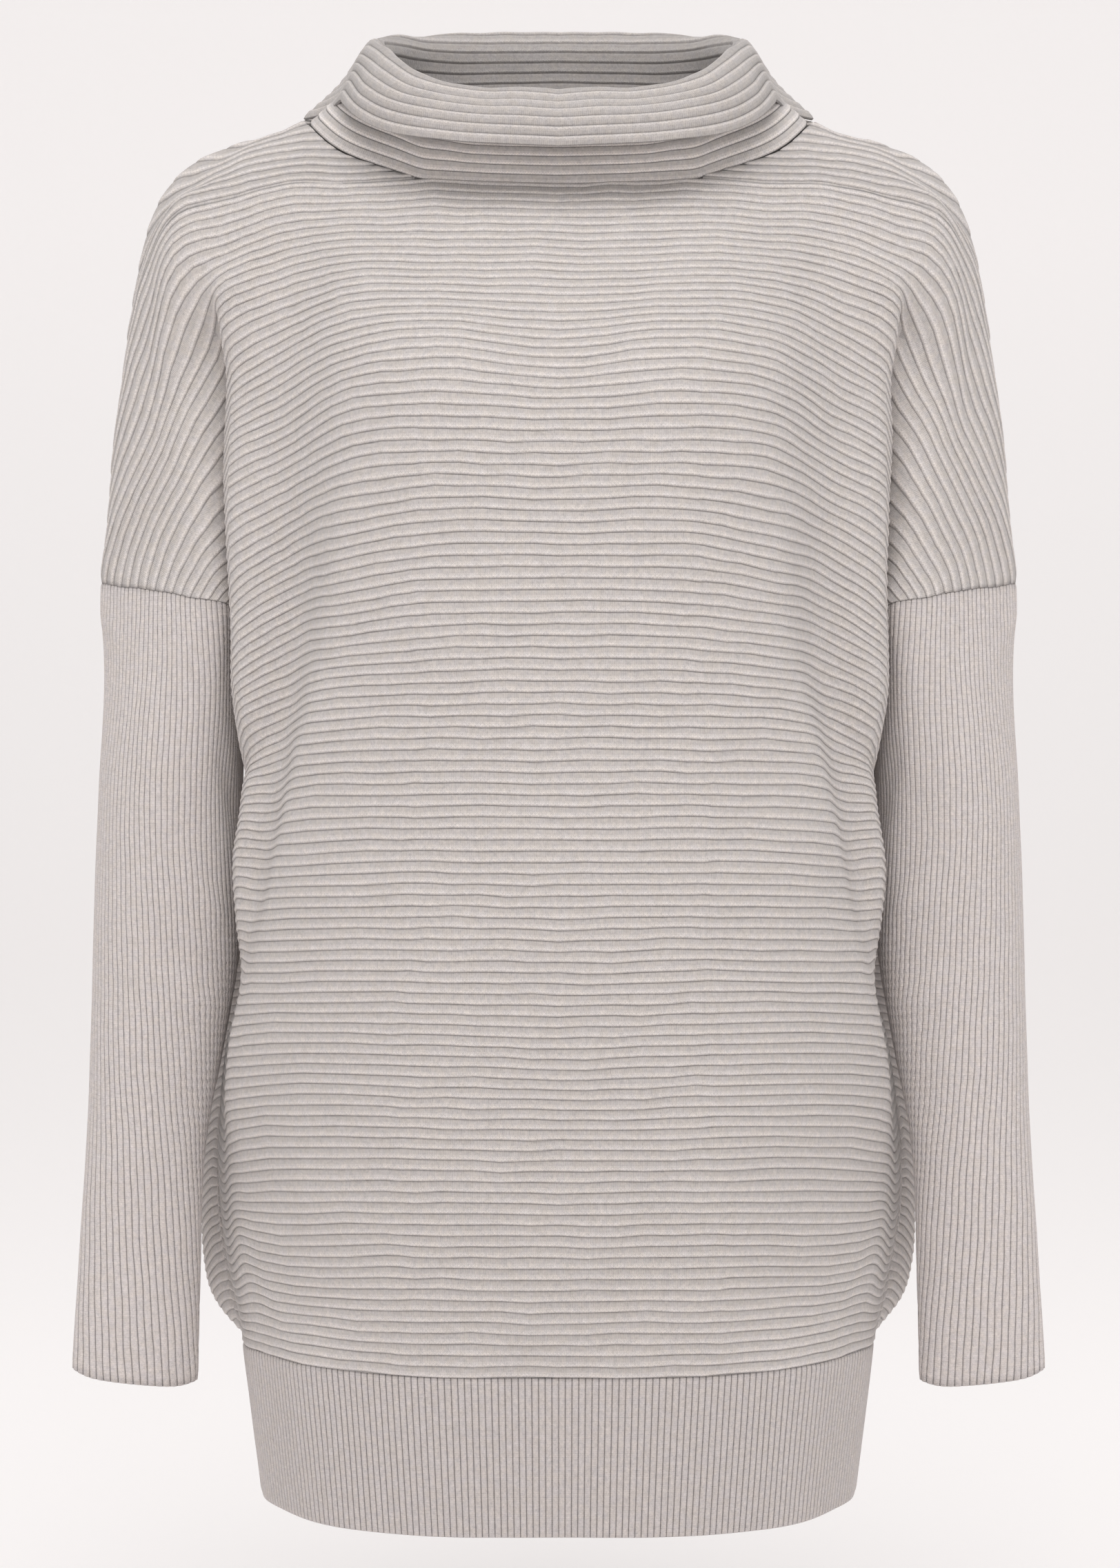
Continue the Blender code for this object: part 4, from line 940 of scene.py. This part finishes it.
def neckline_points():
    """The body's neck edge on one side, from the front middle to the back middle."""
    found = [(FRONT, FRONT_NECK_RIB, share) for share in (0.0, 0.06, 0.12, 0.17)]
    found += [(FRONT, rib, FRONT.start(rib)) for rib in np.linspace(FRONT_NECKLINE[0][0], TOP_RIB, 30)]
    found += [(BACK, rib, BACK.start(rib)) for rib in np.linspace(TOP_RIB, BACK_NECKLINE[0][0], 8)]
    found += [(BACK, BACK_NECK_RIB, share) for share in (0.12, 0.06, 0.0)]
    return np.array([panel.points([rib], [share])[0] for panel, rib, share in found])


def smoothed(curve):
    """The half neck curve with its corners eased, mirrored at both ends."""
    for _ in range(BASE_EASING):
        before = np.vstack([curve[1:2] * (-1, 1, 1), curve[:-1]])
        after = np.vstack([curve[1:], curve[-2:-1] * (-1, 1, 1)])
        curve = (before + 2 * curve + after) / 4
    return curve


def collar_paths(stations):
    """The collar's middle line at each station: base, stand, roll, fall and free edge."""
    rim, fall, edge = [line_at(table, stations) for table in (COLLAR_RIM, COLLAR_FALL, COLLAR_EDGE)]
    neck = neckline_points()
    bearing = np.arctan2(neck[:, 0], -neck[:, 1])
    order = np.argsort(bearing)
    even = np.linspace(0, math.pi, BASE_STEPS + 1)
    curve = smoothed(columns_at(even, bearing[order], neck[order]))
    base = columns_at(np.arctan2(rim[:, 0], -rim[:, 1]), even, curve)
    inward = -base * (1, 1, 0)
    inward /= np.linalg.norm(inward, axis=1)[:, None]
    up = np.array((0, 0, 1.0))
    base = base + inward * BASE_INWARD
    roll_in = rim + inward * COLLAR_ROLL - up * COLLAR_ROLL
    roll_out = rim - inward * COLLAR_ROLL - up * COLLAR_ROLL
    stand = (base + roll_in) / 2 + inward * STAND_INWARD
    return np.stack([base, stand, roll_in, rim, roll_out, fall, edge], axis=1)


def collar_face(path, shares, offsets):
    """Points beside the middle line of a section, at shares of its length and offsets across it."""
    spans = np.linalg.norm(np.diff(path, axis=0), axis=1)
    along = np.concatenate([[0], np.cumsum(spans)])
    run = shares * along[-1]
    here = cubic(path, along, run)
    ahead = cubic(path, along, np.minimum(run + NEAR_RUN, along[-1]))
    behind = cubic(path, along, np.maximum(run - NEAR_RUN, 0))
    tangent = ahead - behind
    tangent /= np.linalg.norm(tangent, axis=1)[:, None]
    level = path[3] * (1, 1, 0)
    level = np.cross((0, 0, 1.0), level / np.linalg.norm(level))
    across = np.cross(tangent, level)
    across /= np.linalg.norm(across, axis=1)[:, None]
    return here + across * offsets[:, None]


def knit_collar(sizes, material):
    """The roll collar: one strip folded over, closed round the neck, ribbed on both faces."""
    wall = Wall("collar")
    phases = [share for share, _ in BROAD_PROFILE]
    rib = np.array([n + share for n in range(COLLAR_RIBS) for share in phases] + [COLLAR_RIBS])
    shares = rib / COLLAR_RIBS
    height = profile_height(BROAD_PROFILE, rib)
    half_wall = sizes.wall / MM / 2
    rise = sizes.rib_rise / MM
    rise_in = rise * height * np.clip((1 - shares) / COLLAR_EDGE_REACH, COLLAR_EDGE_RISE, 1)
    rise_in *= np.clip(shares / COLLAR_EDGE_REACH, COLLAR_EDGE_RISE, 1)
    rise_out = rise_in * COLLAR_OUTER_RISE
    paths = collar_paths(np.linspace(COLLAR_RIM[0][0], COLLAR_RIM[-1][0], COLLAR_STATIONS))
    columns = []
    around = 0.0
    for k, path in enumerate(paths):
        if k:
            around += np.linalg.norm(path[4] - paths[k - 1][4])
        uneven = waves(np.full(len(shares), around), shares * COLLAR_WAVE_RUN, CLOTH_WAVES)
        uneven *= np.clip(shares / UNEVEN_REACH, 0, 1)
        outer_face = collar_face(path, shares, uneven - half_wall - rise_out)
        inner_face = collar_face(path, shares, uneven + half_wall + rise_in)
        columns.append((np.vstack([outer_face, inner_face[::-1]]), around))
    rib_marks = np.concatenate([rib, rib[::-1]])
    # The stand's outer face lies in the fall's shade and gets painted light; the face round the neck gets
    # painted shade
    pale = np.clip((STAND_RIBS - rib) / STAND_PAINTED_LIGHT_FADE, 0, 1)
    dark = np.clip((STAND_RIBS + NECK_PAINTED_SHADE_RIBS - rib) / NECK_PAINTED_SHADE_FADE, 0, 1)
    painted_shade = np.concatenate([-pale, dark[::-1]])
    seam = np.exp(-rib_marks / COLLAR_SEAM_RIBS)
    mirrored = [(points * (-1, 1, 1), -mark) for points, mark in columns[-2:0:-1]]
    wall.length = 2 * around
    laid = [wall.add(points, mark, rib_marks, seam, painted_shade) for points, mark in columns + mirrored]
    join_rings(wall, laid + laid[:1])
    return wall.build(material)


class Wire:
    """A node's output that takes part in sums, products and quotients, each adding its Math node."""

    def __init__(self, graph, socket):
        self.graph = graph
        self.socket = socket

    def maths(self, operation, *values, clamp=False):
        settings = {"operation": operation, "use_clamp": clamp}
        return self.graph.node("ShaderNodeMath", settings, dict(enumerate(values)))

    def __add__(self, other):
        return self.maths("ADD", self, other)

    __radd__ = __add__

    def __mul__(self, other):
        return self.maths("MULTIPLY", self, other)

    __rmul__ = __mul__

    def __sub__(self, other):
        return self.maths("SUBTRACT", self, other)

    def __rsub__(self, other):
        return self.maths("SUBTRACT", other, self)

    def __truediv__(self, other):
        return self.maths("DIVIDE", self, other)

    def sine(self):
        return self.maths("SINE", self)

    def fraction(self):
        return self.maths("FRACT", self)

    def size(self):
        return self.maths("ABSOLUTE", self)

    def clamped(self):
        return self.maths("ADD", self, 0.0, clamp=True)

    def between(self, low, high):
        """Share of the way from low to high, held to 0 and 1."""
        settings = {"interpolation_type": "SMOOTHSTEP"}
        sockets = {"Value": self, "From Min": low, "From Max": high}
        return self.graph.node("ShaderNodeMapRange", settings, sockets)


class Graph:
    """The node tree of one new material."""

    def __init__(self, name):
        self.material = bpy.data.materials.new(name)
        self.material.use_nodes = True
        self.tree = self.material.node_tree
        self.tree.nodes.clear()

    def node(self, kind, settings=None, sockets=None, output=0):
        """Adds a node: its settings first, then the values or wires of its sockets."""
        made = self.tree.nodes.new(kind)
        for label, value in (settings or {}).items():
            setattr(made, label, value)
        for key, value in (sockets or {}).items():
            if isinstance(value, Wire):
                self.tree.links.new(value.socket, made.inputs[key])
            else:
                made.inputs[key].default_value = value
        return Wire(self, made.outputs[output]) if made.outputs else made

    def attribute(self, label):
        return self.node("ShaderNodeAttribute", {"attribute_name": label}, output=2)

    def noise(self, place, scale, detail, roughness=0.5):
        sockets = {0: place, "Scale": scale, "Detail": detail, "Roughness": roughness}
        return self.node("ShaderNodeTexNoise", None, sockets)

    def mix_colour(self, share, first, second, blend="MIX"):
        settings = {"data_type": "RGBA", "blend_type": blend}
        return self.node("ShaderNodeMix", settings, {0: share, 6: first, 7: second}, output=2)

    def finish(self, sockets):
        """Ends the material with a Principled shader that has these sockets set."""
        shader = self.node("ShaderNodeBsdfPrincipled", None, sockets)
        self.node("ShaderNodeOutputMaterial", None, {"Surface": shader})
        return self.material


def with_alpha(colour, factor=1.0):
    """The colour times a factor, with the fourth part that sockets ask for."""
    return tuple(min(max(c * factor, 0.0), 1.0) for c in colour) + (1.0,)


def yarn_material(name, colour, settings, ribs):
    """Matt melange knit: flecks of pale and dark fibre, stitches, painted shade in the rib grooves, a
    painted highlight on broad ridges.
    """
    graph = Graph(name)
    chart = graph.node("ShaderNodeUVMap", {"uv_map": "knit"})
    along = graph.node("ShaderNodeSeparateXYZ", None, {0: chart})
    rib, seam, painted_shade = [graph.attribute(label) for label in Wall.MARKS]
    phase = rib.fraction()
    place = graph.node("ShaderNodeTexCoord", output=3)
    stitch = settings.stitch_width / MM

    # Fibres of the yarn and its slow change of tone over the cloth
    fleck = graph.noise(place, 900.0, 3.0, 0.7)
    loop_fleck = graph.noise(place, 420.0, 2.0)
    cloud = graph.noise(place, 16.0, 3.0)
    warmth = graph.noise(place, 210.0, 2.0)

    # Stitches: upright wales on the flat of each rib and slanted loops on its raised part
    turn = 2 * math.pi
    wale = (along * (turn / stitch)).sine()
    course = (phase * STITCHES_ACROSS_RIB).fraction()
    loops = (along * (turn / (1.25 * stitch)) + (course - 0.5).size() * turn).sine()
    if ribs == "broad":
        raised = phase.between(0.02, 0.12) * (1 - phase.between(0.46, 0.58))
        zigzag = ((along / (2 * stitch)).fraction() - 0.5).size() * 0.2
        # Painted highlight on the zigzag ridge of each broad rib: it lightens the tone through the stitches
        # and lessens the shade; it also adds to the bump
        ridge = 1 - (phase - 0.17 - zigzag).size().between(0.03, 0.13)
        stitches = loops * raised * 0.5 + wale * (1 - raised) * 0.7 + ridge * 0.9
        # Painted shade in the grooves and, less, on the flat band of each rib, lessened on the ridge
        groove = (1 - phase.between(0.0, 0.08)) + phase.between(0.91, 1.0)
        shade = groove.clamped() * 0.33 + (1 - raised) * 0.13 - ridge * 0.1
    else:
        courses = (along * (turn / (0.85 * stitch))).sine()
        stitches = courses * 0.5 + loops * 0.4
        # Painted shade in the grooves of the fine ribs
        groove = (1 - phase.between(0.0, 0.15)) + phase.between(0.85, 1.0)
        shade = groove.clamped() * 0.56
    # Painted shade along the seams adds to the ribs' painted shade
    shade = (shade + seam * 0.25) * (1 - painted_shade * 0.6)
    tone = 1 + (fleck - 0.5) * 0.5 + (loop_fleck - 0.5) * 0.4 + (cloud - 0.5) * 0.03 + stitches * 0.1
    # The mark of painted shade, above zero on the inner faces and round the neck, darkens the tone and
    # softens the grooves' painted shade; below zero, on the collar's stand, it is painted light that makes
    # the tone paler and the grooves' painted shade deeper
    tone = tone * (1 - shade) * (1 - painted_shade * 0.3)
    warm = [part * share for part, share in zip(colour, settings.warm)]
    pale = graph.mix_colour(warmth.between(0.35, 0.65), with_alpha(colour), with_alpha(warm))
    grey = graph.node("ShaderNodeCombineColor", None, {0: tone, 1: tone, 2: tone})
    shown = graph.mix_colour(1.0, pale, grey, "MULTIPLY")
    height = stitches * 0.5 + (fleck - 0.5) * 1.2 + (loop_fleck - 0.5) * 1.4
    bump = graph.node("ShaderNodeBump", None, {"Strength": 0.8, "Distance": 0.0003, "Height": height})
    return graph.finish({
        "Base Color": shown,
        "Roughness": 0.92,
        "Specular IOR Level": 0.18,
        "Sheen Weight": 0.22,
        "Sheen Roughness": 0.6,
        "Normal": bump,
    })


def stage_material(settings):
    """Pale paper with the faintest grain."""
    graph = Graph("stage_paper")
    grain = graph.noise(graph.node("ShaderNodeTexCoord", output=3), 240.0, 2.0)
    colour = settings.floor_colour
    tone = graph.mix_colour(grain, with_alpha(colour, 0.99), with_alpha(colour))
    return graph.finish({
        "Base Color": tone,
        "Roughness": 0.95,
        "Specular IOR Level": 0.1,
        "Emission Color": tone,
        "Emission Strength": settings.floor_glow,
    })


def dress(piece, node):
    """Seats a knitted piece on the body in place of its solid."""
    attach(piece, BODY)
    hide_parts(node)


def length_property(name, description, default):
    return FloatProperty(
        name=name, description=description, default=default * MM, min=0.1 * MM, unit="LENGTH", precision=5
    )


def colour_property(name, description, default):
    return FloatVectorProperty(
        name=name, description=description, default=default, subtype="COLOR", size=3, min=0, max=1
    )


class TunicSizes(PropertyGroup):
    """Sizes of the cloth and its ribs."""

    wall: length_property("Wall", "Thickness of the cloth in a groove", 1.4)
    rib_rise: length_property("Broad rib rise", "How far a broad rib stands above its grooves", 1.1)
    fine_rise: length_property("Fine rib rise", "How far a fine rib stands above its grooves", 0.9)


class TunicYarn(PropertyGroup):
    """Colours and stitches of the yarn."""

    broad: colour_property("Broad rib yarn", "Main colour of the body and collar", (0.52, 0.482, 0.470))
    fine: colour_property("Fine rib yarn", "Main colour of the sleeves and hem band", (0.582, 0.533, 0.525))
    warm: colour_property("Warm fibre", "Share of the colour that warm fibres keep", (1.0, 0.985, 0.95))
    stitch_width: length_property("Stitch width", "Width of one knitted loop", 0.95)


class TunicStage(PropertyGroup):
    """Floor, lights and camera."""

    floor_colour: colour_property("Floor colour", "Paper under and behind the tunic", (0.835, 0.814, 0.811))
    floor_glow: FloatProperty(
        name="Floor glow", description="Light that the paper gives by itself", default=0.26, min=0
    )
    key_power: FloatProperty(
        name="Key light", description="Power of the large light above the front", default=50.0, unit="POWER"
    )
    camera_lens: FloatProperty(
        name="Lens", description="Focal length of the camera", default=120.0, unit="CAMERA"
    )


class TUNIC_OT_body(Operator):
    """Knit the front and the back with their crosswise ribs"""

    bl_idname = "tunic.body"
    bl_label = "Knit Front and Back"

    def execute(self, context):
        sizes = context.scene.tunic_sizes
        yarn = context.scene.tunic_yarn
        material = yarn_material("broad_rib_melange", yarn.broad, yarn, "broad")
        for panel in (FRONT, BACK):
            piece = knit_panel(panel, sizes, material)
            dress(piece, panel.name)
        return {"FINISHED"}


class TUNIC_OT_sleeves(Operator):
    """Knit both sleeves with their fine upright ribs"""

    bl_idname = "tunic.sleeves"
    bl_label = "Knit Sleeves"

    def execute(self, context):
        sizes = context.scene.tunic_sizes
        yarn = context.scene.tunic_yarn
        material = yarn_material("sleeve_melange", yarn.fine, yarn, "fine")
        for name, side in (("sleeve_right", 1), ("sleeve_left", -1)):
            piece = knit_sleeve(name, side, sizes, material)
            dress(piece, name)
        return {"FINISHED"}


class TUNIC_OT_hem(Operator):
    """Knit the band round the hem"""

    bl_idname = "tunic.hem"
    bl_label = "Knit Hem Band"

    def execute(self, context):
        yarn = context.scene.tunic_yarn
        material = yarn_material("hem_melange", [c * HEM_TONE for c in yarn.fine], yarn, "fine")
        piece = knit_hem(context.scene.tunic_sizes, material)
        dress(piece, "hem_band")
        return {"FINISHED"}


class TUNIC_OT_collar(Operator):
    """Knit the roll collar"""

    bl_idname = "tunic.collar"
    bl_label = "Knit Roll Collar"

    def execute(self, context):
        yarn = context.scene.tunic_yarn
        material = yarn_material("collar_melange", [c * COLLAR_TONE for c in yarn.broad], yarn, "broad")
        piece = knit_collar(context.scene.tunic_sizes, material)
        dress(piece, "collar")
        return {"FINISHED"}


class TUNIC_OT_stage(Operator):
    """Set the floor, the lights and the camera"""

    bl_idname = "tunic.stage"
    bl_label = "Set Stage"

    def execute(self, context):
        settings = context.scene.tunic_stage
        make_floor(settings)
        make_lights(settings)
        make_camera(settings)
        return {"FINISHED"}


class TUNIC_PT_panel(Panel):
    """Steps that make the tunic"""

    bl_idname = "TUNIC_PT_panel"
    bl_label = "Roll Neck Tunic"
    bl_space_type = "VIEW_3D"
    bl_region_type = "UI"
    bl_category = "Tunic"

    def draw(self, context):
        layout = self.layout
        for group in (context.scene.tunic_sizes, context.scene.tunic_yarn, context.scene.tunic_stage):
            box = layout.box()
            for label in group.bl_rna.properties.keys():
                if label not in ("rna_type", "name"):
                    box.prop(group, label)
        for step in STEPS:
            layout.operator(step.bl_idname)


def make_floor(settings):
    """A floor below the tunic that curves up into the wall behind it."""
    floor_z = -0.96
    near = -5.0
    bend_start = 3.6
    bend_steps = 16
    radius = 0.9
    top = 4.6
    half_width = 6.5
    outline = [(near, floor_z), (bend_start, floor_z)]
    for k in range(1, bend_steps + 1):
        turn = math.pi / 2 * k / bend_steps
        outline.append((bend_start + radius * math.sin(turn), floor_z + radius * (1 - math.cos(turn))))
    outline.append((bend_start + radius, top))
    points = [(x, y, z) for x in (-half_width, half_width) for y, z in outline]
    count = len(outline)
    faces = [(k, k + 1, count + k + 1, count + k) for k in range(count - 1)]
    mesh = bpy.data.meshes.new("floor")
    mesh.from_pydata(points, [], faces)
    mesh.shade_smooth()
    mesh.materials.append(stage_material(settings))
    floor = bpy.data.objects.new("floor", mesh)
    bpy.context.scene.collection.objects.link(floor)
    return floor


# Lights: name, place in metres, share of the key light's power, width and height
LIGHTS = (
    ("key_light", (0.0, -1.5, 2.1), 1.0, 2.2, 1.2),
    ("front_light", (0.0, -3.4, 0.5), 0.42, 2.4, 1.2),
    ("side_light_left", (-2.2, -0.6, 0.2), 0.1, 1.0, 1.8),
    ("side_light_right", (2.2, -0.6, 0.2), 0.1, 1.0, 1.8),
)
LIGHT_TARGET = (0.0, 0.0, -0.35)
SURROUND_COLOUR = (1.0, 0.985, 0.975, 1.0)
SURROUND_STRENGTH = 0.56
CAMERA_PLACE = (0.00076, -2.883, -0.06)
CAMERA_TARGET = (0.00076, 0.0, -0.371)


def place_towards(made, place, target):
    """Puts a light or camera in its place, turned towards a point."""
    made.location = place
    made.rotation_euler = (Vector(target) - Vector(place)).to_track_quat("-Z", "Y").to_euler()
    bpy.context.scene.collection.objects.link(made)


def make_light(name, place, power, width, height):
    """A soft rectangular light turned towards the tunic's middle."""
    lamp = bpy.data.lights.new(name, "AREA")
    lamp.shape = "RECTANGLE"
    lamp.size = width
    lamp.size_y = height
    lamp.energy = power
    made = bpy.data.objects.new(name, lamp)
    place_towards(made, place, LIGHT_TARGET)


def make_lights(settings):
    """A large light above, a weaker one in front, faint ones at both sides, and an even pale surround."""
    for name, place, share, width, height in LIGHTS:
        make_light(name, place, settings.key_power * share, width, height)
    world = bpy.data.worlds.new("pale_surround")
    world.use_nodes = True
    surround = world.node_tree.nodes["Background"]
    surround.inputs["Color"].default_value = SURROUND_COLOUR
    surround.inputs["Strength"].default_value = SURROUND_STRENGTH
    bpy.context.scene.world = world
    bpy.context.scene.view_settings.view_transform = "Standard"


def make_camera(settings):
    """The camera at the height of the shoulders, looking slightly down on the tunic."""
    camera = bpy.data.cameras.new("camera")
    camera.lens = settings.camera_lens
    camera.sensor_fit = "VERTICAL"
    camera.sensor_height = 36.0
    camera.clip_start = 0.05
    made = bpy.data.objects.new("camera", camera)
    place_towards(made, CAMERA_PLACE, CAMERA_TARGET)
    bpy.context.scene.camera = made


STEPS = (TUNIC_OT_body, TUNIC_OT_sleeves, TUNIC_OT_hem, TUNIC_OT_collar, TUNIC_OT_stage)
GROUPS = (TunicSizes, TunicYarn, TunicStage)
CLASSES = GROUPS + STEPS + (TUNIC_PT_panel,)


def register():
    for found in CLASSES:
        bpy.utils.register_class(found)
    bpy.types.Scene.tunic_sizes = PointerProperty(type=TunicSizes)
    bpy.types.Scene.tunic_yarn = PointerProperty(type=TunicYarn)
    bpy.types.Scene.tunic_stage = PointerProperty(type=TunicStage)


def unregister():
    del bpy.types.Scene.tunic_stage
    del bpy.types.Scene.tunic_yarn
    del bpy.types.Scene.tunic_sizes
    for found in reversed(CLASSES):
        bpy.utils.unregister_class(found)


def main():
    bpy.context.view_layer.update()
    register()
    bpy.ops.tunic.body()
    bpy.ops.tunic.sleeves()
    bpy.ops.tunic.hem()
    bpy.ops.tunic.collar()
    bpy.ops.tunic.stage()


if __name__ == "__main__":
    main()
